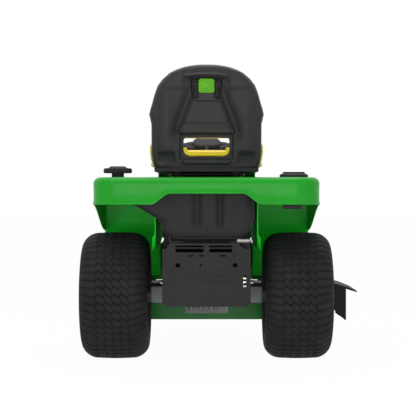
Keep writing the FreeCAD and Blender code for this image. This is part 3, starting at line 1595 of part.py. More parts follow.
nose_bore = rod("Z", ("0", "crank_y", "deck_top - 20"), "60", "pto_hub + run")
pin_y = "lift_y + lift_arm * cos(lift_angle) + 2.6"
pin_z = "lift_z + lift_arm * sin(lift_angle) - lift_link_length"
lift_lug = slab(
    "YZ",
    [
        (f"{pin_y} - 30", "deck_top - 1"),
        (f"{pin_y} + 30", "deck_top - 1"),
        (f"{pin_y} + 12", f"{pin_z} + 12"),
        (f"{pin_y} - 12", f"{pin_z} + 12"),
    ],
    "lift_arm_x + 9",
    "lift_arm_x + 14",
)
deck_pin = rod("X", ("lift_arm_x - 6", pin_y, pin_z), "16", "lift_pin")
arm_plate = slab(
    "YZ",
    [
        ("deck_front - 90", "deck_top - 1"),
        ("deck_front - 60", "deck_top + 16"),
        ("gauge_y - 20", "deck_top + 16"),
        ("gauge_y + 18", "gauge_z + 14"),
        ("gauge_y + 18", "gauge_z - 16"),
        ("gauge_y - 18", "gauge_z - 16"),
        ("deck_front + 4", "deck_top - 2"),
    ],
    "gauge_x - gauge_width / 2 - 20",
    "gauge_x - gauge_width / 2 - 14",
)
gauge_bolt = rod("X", ("gauge_x - gauge_width / 2 - 18", "gauge_y", "gauge_z"), "gauge_width + 24", "8")
gauge_head = rod("X", ("gauge_x + gauge_width / 2 + 2", "gauge_y", "gauge_z"), "6", "13")
hinge_lugs = [box(("deck_half - 10", y, "deck_top - 2"), ("deck_half + 3", f"{y} + 6",
                  "chute_hinge_z + 9")) for y in ("mouth_back + 30", "mouth_front - 36")]
chute_pin = rod("Y", ("deck_half - 3", "mouth_back + 20", "chute_hinge_z"), "mouth_front - mouth_back - 40",
                "5")
baffle = box(("-4", "deck_front - 90", "deck_low + 12"), ("4", "deck_front - 2", "deck_top - 1"))
deck_skin = cut(deck_block("0"), deck_block("deck_sheet"), mouth, *housing_holes)
deck_extras = fuse(*both(lift_lug), *both(deck_pin), *both(arm_plate), *both(gauge_bolt),
                   *both(gauge_head), nose, nose_ring, *hinge_lugs, chute_pin, baffle, *housings)
sub_part("deck_shell", cut(fuse(deck_skin, deck_extras), nose_bore))


def cutter(x, turn):
    """A spindle with its blade and pulley."""
    shaft = rod("Z", (x, "spindle_y", "blade_z - 12"), "deck_belt_z - blade_z + 24", "spindle_shaft")
    bar_box = box(("-blade_radius", "-blade_width / 2", "-blade_thick / 2"),
                  ("blade_radius", "blade_width / 2", "blade_thick / 2"))
    lift_wing = box(("-blade_radius", "blade_width / 2 - 5", "0"), ("-blade_radius + 90",
                    "blade_width / 2", "20"))
    other_wing = box(("blade_radius - 90", "-blade_width / 2", "0"), ("blade_radius",
                     "-blade_width / 2 + 5", "20"))
    blade = place(group(fuse(bar_box, lift_wing, other_wing)), ("0", "0", "0"),
                  FreeCAD.Rotation(FreeCAD.Vector(0, 0, 1), turn))
    nut = rod("Z", (x, "spindle_y", "blade_z - 16"), "10", "19")
    return fuse(shaft, moved(blade, (x, "spindle_y", "blade_z")), nut,
                pulley("deck_pulley_radius", "deck_belt_z", (x, "spindle_y", "0")))


sub_part("blade_right", cutter("spindle_x", 12))
sub_part("blade_left", cutter("-spindle_x", -12))
hub_low = "deck_top - 16"
input_profile = [
    (f"{hub_low} - 5", "crank_radius + run"),
    (f"{hub_low} - 5", "pto_hub + 7"),
    (hub_low, "pto_hub + 7"),
    (hub_low, "pto_hub"),
    ("deck_belt_z - 8", "pto_hub"),
    ("deck_belt_z - 8", "deck_pulley_radius"),
    ("deck_belt_z - 5", "deck_pulley_radius"),
    ("deck_belt_z - 5", "deck_pulley_radius - belt_thick - 2"),
    ("deck_belt_z + 5", "deck_pulley_radius - belt_thick - 2"),
    ("deck_belt_z + 5", "deck_pulley_radius"),
    ("deck_belt_z + 8", "deck_pulley_radius"),
    ("deck_belt_z + 8", "crank_radius + run"),
]
sub_part("input_pulley", turned("Z", input_profile, ("0", "crank_y", "0")))
belt("deck_belt", [("-spindle_x", "spindle_y", "deck_pulley_radius"),
                   ("spindle_x", "spindle_y", "deck_pulley_radius"),
                   ("0", "crank_y", "deck_pulley_radius")], "deck_belt_z")

roof = slab(
    "XZ",
    [
        ("deck_half + 9", "chute_hinge_z + 3"),
        ("deck_half + 9", "chute_hinge_z - 3"),
        ("chute_skirt_x - 5", "chute_hinge_z - 20"),
        ("chute_skirt_x - 5", "chute_low"),
        ("chute_skirt_x", "chute_low"),
        ("chute_skirt_x", "chute_hinge_z - 22"),
        ("chute_out - 3", "chute_hinge_z - 36"),
        ("chute_out", "chute_hinge_z - 32"),
        ("chute_skirt_x + 4", "chute_hinge_z - 13"),
    ],
    "mouth_back + 8",
    "mouth_front - 8",
)
cheeks = [slab("XZ", [("deck_half + 8", "chute_hinge_z - 4"), ("deck_half + 14", "deck_low + 12"),
                      ("chute_skirt_x - 1", "chute_low"), ("chute_skirt_x - 1", "chute_hinge_z - 19")],
               y, f"{y} + 5") for y in ("mouth_back + 8", "mouth_front - 13")]
knuckles = rod("Y", ("deck_half - 3", "mouth_back + 44", "chute_hinge_z"), "mouth_front - mouth_back - 88",
               "9")
strap = box(("deck_half - 3", "mouth_back + 44", "chute_hinge_z + 3"), ("deck_half + 12",
            "mouth_front - 44", "chute_hinge_z + 8"))
knuckle_bore = rod("Y", ("deck_half - 3", "mouth_back", "chute_hinge_z"), "mouth_front - mouth_back",
                   "5 + run")
sub_part("chute_deflector", cut(fuse(roof, *cheeks, knuckles, strap), knuckle_bore))

gauge_profile = [
    ("-gauge_width / 2", "8 + run"),
    ("-gauge_width / 2", "gauge_radius - 8"),
    ("-gauge_width / 2 + 8", "gauge_radius"),
    ("gauge_width / 2 - 8", "gauge_radius"),
    ("gauge_width / 2", "gauge_radius - 8"),
    ("gauge_width / 2", "8 + run"),
]
pair("gauge_wheel", turned("X", gauge_profile, ("gauge_x", "gauge_y", "gauge_z")))

# ---------------------------------------------------------------- deck lift

arm_end = ("lift_y + lift_arm * cos(lift_angle)", "lift_z + lift_arm * sin(lift_angle)")
cross_shaft = rod("X", ("-lift_arm_x - lift_arm_thick / 2", "lift_y", "lift_z"),
                  "lift_arm_x + lift_lever_x + lift_arm_thick / 2 + 4", "lift_tube")
arm_blade = slab(
    "YZ",
    [
        ("lift_y - 14", "lift_z - 12"),
        ("lift_y + 6", "lift_z - 16"),
        (f"{arm_end[0]} + 10", f"{arm_end[1]} - 9"),
        (f"{arm_end[0]} + 8", f"{arm_end[1]} + 11"),
        ("lift_y - 8", "lift_z + 16"),
    ],
    "lift_arm_x - lift_arm_thick / 2",
    "lift_arm_x + lift_arm_thick / 2",
)
arm_pin = rod("X", ("lift_arm_x - 3", *arm_end), "14", "lift_pin")
lever_end = ("lift_y - lift_lever_length * sin(lift_lever_lean)",
             "lift_z + lift_lever_length * cos(lift_lever_lean)")
lever_mid = ("lift_y - (lift_lever_length - 110) * sin(lift_lever_lean)",
             "lift_z + (lift_lever_length - 110) * cos(lift_lever_lean)")
lever_bar = bar(("lift_lever_x", "lift_y", "lift_z"), ("lift_lever_x", *lever_end), "6")
lever_sleeve = bar(("lift_lever_x", *lever_mid), ("lift_lever_x", *lever_end), "13")
lever_hub = rod("X", ("lift_lever_x - 10", "lift_y", "lift_z"), "16", "19")
sub_part(
    "lift_lever",
    fuse(cross_shaft, *both(arm_blade), *both(arm_pin), lever_bar, lever_sleeve, lever_hub),
)
link_x = "lift_arm_x + lift_arm_thick / 2 + 0.6"
link_body = box((link_x, f"{arm_end[0]} - 7", f"{arm_end[1]} - lift_link_length - 4"),
                (f"{link_x} + 4", f"{arm_end[0]} + 7", arm_end[1]))
top_eye = rod("X", (link_x, *arm_end), "4", "12")
low_at = (arm_end[0], f"{arm_end[1]} - lift_link_length")
low_eye = rod("X", (link_x, *low_at), "4", "15")
top_bore = rod("X", ("lift_arm_x - 10", *arm_end), "40", "lift_pin + run")
low_bores = [rod("X", ("lift_arm_x - 10", f"{low_at[0]} + {dy}", low_at[1]), "40", "lift_pin + 1.2")
             for dy in ("3.4", "-3.4")]
low_room = box(("lift_arm_x - 10", f"{low_at[0]} - 3.4", f"{low_at[1]} - lift_pin - 1.2"),
               ("lift_arm_x + 30", f"{low_at[0]} + 3.4", f"{low_at[1]} + lift_pin + 1.2"))
link = cut(fuse(link_body, top_eye, low_eye), top_bore, *low_bores, low_room)
sub_part("lift_links", group(*both(link)))


doc.recompute()
failed = [o.Name for o in doc.Objects if "Invalid" in o.State or "Error" in o.State]
assert not failed, failed
os.makedirs("parts", exist_ok=True)
for label, obj in PARTS.items():
    assert obj.Shape.isValid(), label
    obj.Shape.exportStep(f"parts/{label}.step")
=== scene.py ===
import bpy
import bmesh
import json
import math
import numpy as np
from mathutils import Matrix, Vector


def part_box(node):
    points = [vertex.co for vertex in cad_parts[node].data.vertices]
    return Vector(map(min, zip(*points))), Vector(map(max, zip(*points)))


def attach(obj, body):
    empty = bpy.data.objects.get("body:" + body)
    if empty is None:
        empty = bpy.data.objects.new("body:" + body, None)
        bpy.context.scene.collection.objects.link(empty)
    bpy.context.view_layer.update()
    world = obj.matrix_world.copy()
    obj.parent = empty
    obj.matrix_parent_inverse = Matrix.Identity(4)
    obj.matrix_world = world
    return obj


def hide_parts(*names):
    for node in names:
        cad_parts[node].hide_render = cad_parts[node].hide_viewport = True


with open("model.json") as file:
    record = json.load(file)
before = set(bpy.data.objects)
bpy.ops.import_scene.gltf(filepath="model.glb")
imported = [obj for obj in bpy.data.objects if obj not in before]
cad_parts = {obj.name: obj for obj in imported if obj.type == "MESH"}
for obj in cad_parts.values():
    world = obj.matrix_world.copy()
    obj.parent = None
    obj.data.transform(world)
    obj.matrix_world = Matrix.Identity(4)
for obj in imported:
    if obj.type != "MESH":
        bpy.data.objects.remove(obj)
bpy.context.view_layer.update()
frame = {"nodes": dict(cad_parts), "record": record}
NODES = frame["nodes"]
PI = math.pi


# ---------------------------------------------------------------- materials
class Look:
    """A node material, built up on a Principled shader in object space."""

    def __init__(self, name, rough=0.5, metal=0.0, coat=0.0, coat_rough=0.1, gloss=0.5):
        self.mat = bpy.data.materials.new(name)
        self.mat.use_nodes = True
        self.t = self.mat.node_tree
        self.bsdf = self.t.nodes["Principled BSDF"]
        self.bsdf.inputs["Roughness"].default_value = rough
        self.bsdf.inputs["Metallic"].default_value = metal
        self.bsdf.inputs["Coat Weight"].default_value = coat
        self.bsdf.inputs["Coat Roughness"].default_value = coat_rough
        self.bsdf.inputs["Specular IOR Level"].default_value = gloss
        self.where = self.add("ShaderNodeTexCoord").outputs["Object"]
        self.last = None

    def add(self, kind, **values):
        node = self.t.nodes.new(kind)
        for key, v in values.items():
            setattr(node, key, v)
        return node

    def link(self, a, b):
        self.t.links.new(a, b)

    def noise(self, scale, detail=3.0, rough=0.5, stretch=None):
        n = self.add("ShaderNodeTexNoise")
        n.inputs["Scale"].default_value = scale
        n.inputs["Detail"].default_value = detail
        n.inputs["Roughness"].default_value = rough
        if stretch:
            m = self.add("ShaderNodeMapping")
            m.inputs["Scale"].default_value = stretch
            self.link(self.where, m.inputs["Vector"])
            self.link(m.outputs[0], n.inputs["Vector"])
        else:
            self.link(self.where, n.inputs["Vector"])
        return n.outputs["Fac"]

    def cells(self, scale, feature="F1"):
        v = self.add("ShaderNodeTexVoronoi", feature=feature)
        v.inputs["Scale"].default_value = scale
        self.link(self.where, v.inputs["Vector"])
        return v.outputs["Distance"]

    def ramp(self, value, stops):
        r = self.add("ShaderNodeValToRGB")
        while len(r.color_ramp.elements) < len(stops):
            r.color_ramp.elements.new(0.5)
        for e, (at, c) in zip(r.color_ramp.elements, stops):
            e.position = at
            e.color = (*c, 1) if len(c) == 3 else c
        self.link(value, r.inputs[0])
        return r.outputs[0]

    def mix(self, factor, a, b):
        m = self.add("ShaderNodeMix", data_type="RGBA")
        for at, v in ((6, a), (7, b)):
            if isinstance(v, tuple):
                m.inputs[at].default_value = (*v, 1)
            else:
                self.link(v, m.inputs[at])
        self.link(factor, m.inputs[0])
        return m.outputs[2]

    def colour(self, socket):
        self.link(socket, self.bsdf.inputs["Base Color"])

    def roughness(self, value, low, high):
        m = self.add("ShaderNodeMapRange")
        m.inputs["To Min"].default_value = low
        m.inputs["To Max"].default_value = high
        self.link(value, m.inputs["Value"])
        self.link(m.outputs[0], self.bsdf.inputs["Roughness"])

    def bump(self, value, distance, strength=1.0):
        b = self.add("ShaderNodeBump")
        b.inputs["Distance"].default_value = distance
        b.inputs["Strength"].default_value = strength
        self.link(value, b.inputs["Height"])
        if self.last:
            self.link(self.last, b.inputs["Normal"])
        self.last = b.outputs[0]
        self.link(self.last, self.bsdf.inputs["Normal"])

    def scuffs(self, amount):
        fine = self.noise(85, 8, 0.7)
        return self.ramp(fine, [(0.60, (0, 0, 0)), (0.74, (amount,) * 3)])


def shade(c, k):
    return tuple(min(1, x * k) for x in c)


def paint(name, c, rough=0.32, coat=0.25, peel=0.00012):
    m = Look(name, rough=rough, coat=coat, gloss=0.15)
    m.colour(m.ramp(m.noise(7, 5), [(0.3, shade(c, 0.93)), (0.7, shade(c, 1.06))]))
    m.roughness(m.noise(22, 4), rough - 0.07, rough + 0.1)
    m.bump(m.noise(420, 2), peel, 0.5)
    return m.mat


def plastic(name, c, rough=0.55, grain=520, depth=0.00016):
    m = Look(name, rough=rough, gloss=0.17)
    mottled = m.ramp(m.noise(9, 5), [(0.3, shade(c, 0.88)), (0.7, shade(c, 1.12))])
    m.colour(m.mix(m.scuffs(0.35), mottled, shade(c, 1.8)))
    m.roughness(m.noise(40, 4), rough - 0.08, rough + 0.12)
    m.bump(m.cells(grain), depth, 0.7)
    return m.mat


def powder(name, c, rough=0.42):
    m = Look(name, rough=rough, gloss=0.16)
    mottled = m.ramp(m.noise(12, 6), [(0.3, shade(c, 0.85)), (0.75, shade(c, 1.18))])
    m.colour(m.mix(m.scuffs(0.2), mottled, (0.10, 0.10, 0.10)))
    m.roughness(m.noise(60, 5), rough - 0.1, rough + 0.12)
    m.bump(m.noise(900, 2), 0.00012, 0.8)
    return m.mat


def metal(name, c, rough=0.34, stretch=(1, 1, 30), cast=False):
    m = Look(name, rough=rough, metal=1.0)
    m.colour(m.ramp(m.noise(14, 6), [(0.3, shade(c, 0.72)), (0.7, shade(c, 1.1))]))
    m.roughness(m.noise(30, 5), rough - 0.08, rough + 0.16)
    m.bump(m.noise(320, 4) if cast else m.noise(60, 3, stretch=stretch), 0.0004 if cast else 0.00008, 0.8)
    return m.mat


DUST = (0.045, 0.043, 0.039)


def rubber(name, c, rough=0.72, dust=0.35):
    m = Look(name, rough=rough, gloss=0.14)
    dusty = m.ramp(m.noise(18, 6), [(0.45, (0, 0, 0)), (0.8, (dust,) * 3)])
    mottled = m.ramp(m.noise(6, 3), [(0.3, shade(c, 0.85)), (0.7, shade(c, 1.15))])
    m.colour(m.mix(dusty, mottled, DUST))
    m.roughness(m.noise(50, 4), rough - 0.1, rough + 0.1)
    m.bump(m.noise(700, 3), 0.00015, 0.6)
    return m.mat


def vinyl(name, c):
    m = Look(name, rough=0.44, coat=0.05, coat_rough=0.3, gloss=0.35)
    m.colour(m.ramp(m.noise(10, 5), [(0.3, shade(c, 0.9)), (0.7, shade(c, 1.05))]))
    m.roughness(m.noise(70, 3), 0.38, 0.52)
    m.bump(m.cells(330, "DISTANCE_TO_EDGE"), 0.0003, 0.45)
    m.bump(m.noise(24, 3), 0.0008, 0.3)
    return m.mat


GREEN = (0.012, 0.310, 0.018)
DEEP_GREEN = (0.006, 0.20, 0.014)
YELLOW = (0.86, 0.66, 0.010)
LOOKS = {
    "tyre": rubber("tyre_rubber", (0.0155, 0.0155, 0.0160)),
    "rim": paint("rim_paint", YELLOW, 0.36),
    "green_plastic": paint("green_body", GREEN, 0.34, 0.04),
    "green_metal": paint("green_enamel", DEEP_GREEN, 0.34, 0.3, 0.0002),
    "black_metal": powder("black_powder_coat", (0.0175, 0.0175, 0.018), 0.5),
    "black_plastic": plastic("black_grained", (0.0175, 0.0175, 0.018), 0.5),
    "shell_plastic": plastic("charcoal_grained", (0.030, 0.030, 0.0305), 0.44),
    "cast": metal("cast_alloy", (0.155, 0.16, 0.16), 0.5, cast=True),
    "steel": metal("zinc_steel", (0.36, 0.36, 0.355)),
    "cushion": vinyl("yellow_vinyl", YELLOW),
    "belt": rubber("belt_rubber", (0.02, 0.02, 0.02), 0.6, 0.2),
    "orange": plastic("orange_plastic", (0.95, 0.27, 0.01), 0.4),
    "grip": rubber("grip_rubber", (0.014, 0.014, 0.0145), 0.62, 0.1),
    "rail_paint": powder("frame_powder_coat", (0.015, 0.015, 0.0155), 0.5),
    "crank_steel": metal("machined_steel", (0.48, 0.48, 0.48), 0.26, (1, 1, 60)),
}
MACHINE_MIDDLE = 0.056  # the machine's middle plane lies this far left of the origin
DISH_FROM = 0.262       # the rear rims' painted dish starts this far from that plane


def rear_rim_look():
    """Yellow dish outside, dark grey hub inside."""
    m = Look("rear_rim_paint", rough=0.38, coat=0.1, gloss=0.32)
    parts = m.add("ShaderNodeSeparateXYZ")
    m.link(m.where, parts.inputs[0])
    out = m.add("ShaderNodeMath", operation="ADD")
    out.inputs[1].default_value = MACHINE_MIDDLE
    m.link(parts.outputs[0], out.inputs[0])
    far = m.add("ShaderNodeMath", operation="ABSOLUTE")
    m.link(out.outputs[0], far.inputs[0])
    is_dish = m.add("ShaderNodeMath", operation="GREATER_THAN")
    is_dish.inputs[1].default_value = DISH_FROM
    m.link(far.outputs[0], is_dish.inputs[0])
    # the hub inside is painted dark grey, though the real rim is yellow there too
    dark_hub = m.ramp(m.noise(30, 5), [(0.3, (0.05, 0.05, 0.05)), (0.7, (0.11, 0.11, 0.11))])
    painted = m.ramp(m.noise(8, 5), [(0.3, shade(YELLOW, 0.9)), (0.7, YELLOW)])
    m.colour(m.mix(is_dish.outputs[0], dark_hub, painted))
    m.bump(m.noise(380, 2), 0.0001, 0.5)
    return m.mat


LOOKS["rear_rim"] = rear_rim_look()
# the wheel well liner is the fender's own green painted brighter: painted light that lifts its shaded inside
LOOKS["painted_light_well_green"] = paint("wheel_well_painted_light_green", (0.006, 0.52, 0.020), 0.40, 0.02)
LOOKS["badge_green"] = paint("badge_green", (0.105, 0.40, 0.012), 0.34, 0.10)
LOOKS["chute_black"] = plastic("chute_black", (0.0085, 0.0085, 0.0088), 0.58)
for entry in frame["record"]["subparts"]:
    node, look = NODES[entry["node"]], entry["material_slot"]
    if entry["node"].startswith("rear_rim"):
        look = "rear_rim"
    if "chute" in entry["node"] and look == "black_plastic":
        look = "chute_black"
    node.data.materials.clear()
    node.data.materials.append(LOOKS[look])


# ---------------------------------------------------------------- mesh helpers
def smooth(edge0, edge1, x):
    t = np.clip((x - edge0) / (edge1 - edge0), 0, 1)
    return t * t * (3 - 2 * t)


def band(x, low, high, soft):
    return smooth(low - soft, low + soft, x) * (1 - smooth(high - soft, high + soft, x))


def make(name, verts, faces, look, body, *nodes, flat=False):
    mesh = bpy.data.meshes.new(name)
    mesh.from_pydata([tuple(v) for v in verts], [], [tuple(f) for f in faces])
    bm = bmesh.new()
    bm.from_mesh(mesh)
    bmesh.ops.remove_doubles(bm, verts=bm.verts, dist=1e-6)
    bmesh.ops.recalc_face_normals(bm, faces=bm.faces)
    bm.to_mesh(mesh)
    bm.free()
    for p in mesh.polygons:
        p.use_smooth = not flat
    o = bpy.data.objects.new(name, mesh)
    bpy.context.scene.collection.objects.link(o)
    mesh.materials.append(LOOKS[look])
    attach(o, body)
    if nodes:
        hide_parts(*nodes)
    return o


def grid_faces(rows, cols, wrap_rows=False, wrap_cols=False, start=0):
    out = []
    for i in range(rows if wrap_rows else rows - 1):
        for j in range(cols if wrap_cols else cols - 1):
            a, b = i * cols + j, i * cols + (j + 1) % cols
            c, d = ((i + 1) % rows) * cols + (j + 1) % cols, ((i + 1) % rows) * cols + j
            out.append((start + a, start + b, start + c, start + d))
    return out


def sheet_faces(rows, cols):
    """Faces of a closed sheet: one side's grid, the other side's, and the border between them."""
    k = rows * cols
    border = list(range(cols)) + [i * cols + cols - 1 for i in range(1, rows)]
    border += [(rows - 1) * cols + j for j in range(cols - 2, -1, -1)]
    border += [i * cols for i in range(rows - 2, 0, -1)]
    out = grid_faces(rows, cols)
    out += [tuple(k + q for q in reversed(f)) for f in grid_faces(rows, cols)]
    return out + [(a, b, k + b, k + a) for a, b in zip(border, border[1:] + border[:1])]


def baked(o, modifier):
    """Applies one modifier to the mesh."""
    dg = bpy.context.evaluated_depsgraph_get()
    mesh = bpy.data.meshes.new_from_object(o.evaluated_get(dg))
    o.modifiers.remove(modifier)
    o.data = mesh


# ---------------------------------------------------------------- turf tyres
def tyre(node, body, bead, bead_half, shoulder, around, across, lugs):
    """A turf tyre with its tread cut into the mesh: waves across, grooves around, lugs on the shoulders."""
    lo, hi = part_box(node)
    c, r, w = (lo + hi) / 2, (hi.z - lo.z) / 2, (hi.x - lo.x) / 2
    side = [(bead_half - 0.011, bead + 0.002), (bead_half, bead), (bead_half + 0.004, bead + 0.008)]
    for t in np.linspace(0.12, 1, 16):
        ang = t * PI / 2
        side.append((bead_half + 0.004 + (w - bead_half - 0.004) * math.sin(ang),
                     bead + 0.01 + (r - shoulder - bead - 0.01) * (1 - math.cos(ang)) ** 0.8))
    flat_half = w - shoulder
    curve = [(flat_half + shoulder * math.cos(a), r - shoulder + shoulder * math.sin(a))
             for a in np.linspace(0, PI / 2, 22)[1:]]
    crown = 0.004
    half = side + curve
    line = list(half) + [(x, r) for x in np.linspace(flat_half, -flat_half, across)[1:-1]]
    line += [(-x, y) for x, y in reversed(half)]
    inner = [(-(bead_half - 0.011), bead + 0.02), (-(w - 0.012), r * 0.7), (-(w - 0.03), r - 0.03),
             (w - 0.03, r - 0.03), (w - 0.012, r * 0.7), (bead_half - 0.011, bead + 0.02)]
    n_out = len(line)
    prof = np.array(line + inner)
    x, rr = prof[:, 0], prof[:, 1]
    th = np.linspace(0, 2 * PI, around, endpoint=False)[:, None]
    X = np.repeat(x[None], around, 0)
    R = np.repeat(rr[None], around, 0)
    R[:, :n_out] -= crown * smooth(0, w, np.abs(X[:, :n_out])) * smooth(r - shoulder, r, R[:, :n_out])
    pitch = 2 * PI / lugs
    span = w / 0.134
    ax = np.abs(X)
    depth = np.zeros_like(X)
    saw = np.abs(((th / pitch) % 1) - 0.5) * 4 - 1
    for k in range(-2, 3):
        at = k * 0.0315 * span + 0.0038 * span * saw * (1 if k % 2 else -1)
        depth = np.maximum(depth, 0.0032 * (1 - smooth(0.0006, 0.0026, np.abs(X - at))))
    block_width = 0.0315 * span
    across_wave = 0.17 * np.sin(2 * PI * X / block_width) + 0.05 * np.sin(4 * PI * X / block_width)
    sipe = np.abs((th / pitch + across_wave) % 1 - 0.5) * pitch * r
    depth = np.maximum(depth, 0.0065 * (1 - smooth(0.0016, 0.0052, sipe)) * (ax < 0.080 * span))
    lug = (th / pitch + 0.13 * np.sign(X) + 7.0 * (ax - 0.080 * span) / span) % 1
    slit = np.abs(lug - 0.5) * pitch * r
    on_edge = smooth(0.077 * span, 0.083 * span, ax)
    depth = np.maximum(depth, 0.0075 * (1 - smooth(0.0020, 0.0055, slit)) * on_edge)
    depth *= smooth(r - shoulder * 0.86, r - shoulder * 0.66, R)
    depth[:, n_out:] = 0
    ridge = np.zeros_like(X)
    for at in (0.45, 0.62):
        level = bead + (r - shoulder - bead) * at
        ridge += 0.0012 * (1 - smooth(0.0012, 0.003, np.abs(R - level)))
    ridge[:, n_out:] = 0
    R = R - depth
    X = X + np.sign(X) * np.minimum(ridge, np.maximum(w - ax, 0))
    P = np.stack([c.x + X, c.y + R * np.cos(th), c.z + R * np.sin(th)], -1).reshape(-1, 3)
    return make("turf_" + node, P, grid_faces(around, len(prof), True, True), "tyre", body, node)


for side in ("left", "right"):
    tyre(f"rear_tyre_{side}", f"rear_wheel_{side}", 0.1016, 0.090, 0.062, 660, 104, 50)
    tyre(f"front_tyre_{side}", f"front_wheel_{side}", 0.076, 0.050, 0.044, 420, 60, 42)


# ---------------------------------------------------------------- seat
s_lo, s_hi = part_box("seat_back_shell")
CX = (s_lo.x + s_hi.x) / 2
S_REAR, S_LOW, S_TOP = s_lo.y, s_lo.z, s_hi.z
LEAN = 0.078 / 0.420
OUT = np.array([(0.765, 0.206), (0.79, 0.214), (0.83, 0.219), (0.87, 0.2175), (0.94, 0.2175), (0.962, 0.222),
                (0.975, 0.226), (0.997, 0.221), (1.02, 0.2135), (1.044, 0.207), (1.067, 0.1995), (1.09, 0.190),
                (1.114, 0.171), (1.137, 0.144), (1.150, 0.118), (1.1605, 0.089), (1.168, 0.052)])


def half_width(z):
    return np.interp(z, OUT[:, 0], OUT[:, 1])


def rear_y(z):
    return S_REAR + 0.078 - LEAN * (z - 0.748)


def shell_relief(x, z):
    """How far the shell's rear face stands out, towards the back."""
    ax = np.abs(x)
    h = np.zeros_like(x)
    valley = 0.116 - 0.052 * smooth(0.90, 1.09, z)
    h -= 0.018 * np.exp(-((ax - valley) / 0.019) ** 2) * band(z, 0.88, 1.085, 0.030)
    h += 0.008 * np.exp(-((ax - 0.158) / 0.026) ** 2) * band(z, 0.80, 1.08, 0.05)
    h -= 0.006 * np.exp(-((ax - 0.196) / 0.012) ** 2) * band(z, 0.82, 1.02, 0.04)
    h += 0.006 * band(ax, -1, valley - 0.020, 0.008) * band(z, 0.936, 1.085, 0.012)
    reach = 0.112 - 0.30 * np.clip(z - 0.905, 0, 0.03)
    brow = smooth(0.900, 0.904, z) * (1 - smooth(0.914, 0.938, z))
    h += 0.016 * (1 - smooth(-0.005, 0.005, ax - reach)) * brow
    h -= 0.013 * (1 - smooth(-0.005, 0.005, ax - 0.104)) * band(z, 0.800, 0.898, 0.004)
    chin = 0.098 - 0.5 * np.clip(0.80 - z, 0, 1)
    h += 0.006 * (1 - smooth(-0.006, 0.006, ax - chin)) * band(z, 0.780, 0.799, 0.004)
    outer = 0.055 + 0.06 * np.clip(z - 1.03, 0, 0.08)
    inner = 0.034 - 0.10 * np.clip(z - 1.055, 0, 0.06)
    facet = smooth(inner - 0.004, inner + 0.004, ax) * (1 - smooth(outer - 0.004, outer + 0.004, ax))
    h -= 0.019 * facet * band(z, 1.036, 1.112, 0.005)
    h += 0.006 * (1 - smooth(-0.003, 0.003, ax - (0.033 + 0.45 * (1.054 - z)))) * band(z, 1.026, 1.054, 0.002)
    arc = 1.128 - 0.9 * ax ** 2
    h += 0.010 * np.exp(-((z - arc) / 0.006) ** 2) * band(ax, -1, 0.088, 0.012)
    h -= 0.007 * np.exp(-((z - arc + 0.018) / 0.008) ** 2) * band(ax, -1, 0.084, 0.012)
    h += 0.005 * smooth(0.086, 0.096, ax) * band(z, 1.075, 1.15, 0.012)
    h -= 0.014 * band(ax, 0.128, 0.190, 0.010) * band(z, 0.786, 0.824, 0.010)
    return h


ROWS, COLS = 190, 180
zz = np.linspace(S_LOW, S_TOP, ROWS)[:, None] * np.ones((1, COLS))
u = np.linspace(-1, 1, COLS)[None, :] * np.ones((ROWS, 1))
u = np.sign(u) * np.abs(u) ** 0.92
xx = u * half_width(zz)
edge = half_width(zz) * (1 - np.abs(u))
top = S_TOP - zz
roll = 0.032 * (1 - np.sqrt(np.clip(1 - (1 - np.clip(edge / 0.034, 0, 1)) ** 2, 0, 1)))
roll_top = 0.030 * (1 - np.sqrt(np.clip(1 - (1 - np.clip(top / 0.030, 0, 1)) ** 2, 0, 1)))
back = rear_y(zz) + 0.010 * np.abs(u) ** 2 + roll + roll_top - shell_relief(xx, zz) * smooth(0, 0.02, edge)
front = rear_y(zz) + 0.026 + 0.018 * np.abs(u) ** 3 + 0.004
front = np.maximum(front, back + 0.006)
rear_pts = np.stack([CX + xx, back, zz], -1).reshape(-1, 3)
front_pts = np.stack([CX + xx, front, zz], -1).reshape(-1, 3)
shell = make("seat_shell", np.vstack([rear_pts, front_pts]), sheet_faces(ROWS, COLS), "shell_plastic", "seat",
             "seat_back_shell")


def rounded_slot(half, low, high, radius, y0, y1, top_radius=0.008):
    """A cutter along Y, with large corners below and small ones above."""
    corners = ((1, low + radius, radius, -90), (1, high - top_radius, top_radius, 0),
               (-1, high - top_radius, top_radius, 90), (-1, low + radius, radius, 180))
    pts = []
    for sx, corner_z, rad, start in corners:
        for a in np.radians(np.linspace(start, start + 90, 9)):
            pts.append((CX + sx * (half - rad) + rad * math.cos(a), corner_z + rad * math.sin(a)))
    k = len(pts)
    verts = [(x, y0, z) for x, z in pts] + [(x, y1, z) for x, z in pts]
    quads = [tuple(range(k)), tuple(range(2 * k - 1, k - 1, -1))]
    quads += [(i, (i + 1) % k, k + (i + 1) % k, k + i) for i in range(k)]
    return verts, quads


def carve(target, verts, quads):
    """Cuts a closed shape out of a mesh."""
    mesh = bpy.data.meshes.new("cutter")
    mesh.from_pydata(verts, [], quads)
    bm = bmesh.new()
    bm.from_mesh(mesh)
    bmesh.ops.recalc_face_normals(bm, faces=bm.faces)
    bm.to_mesh(mesh)
    bm.free()
    o = bpy.data.objects.new("cutter", mesh)
    bpy.context.scene.collection.objects.link(o)
    m = target.modifiers.new("cut", "BOOLEAN")
    m.operation, m.solver, m.object = "DIFFERENCE", "EXACT", o
    bpy.context.view_layer.update()
    baked(target, m)
    bpy.data.objects.remove(o)


W_HALF, W_LOW, W_HIGH = 0.090, 0.812, 0.884
carve(shell, *rounded_slot(W_HALF, W_LOW, W_HIGH, 0.026, S_REAR - 0.1, S_REAR + 0.25))


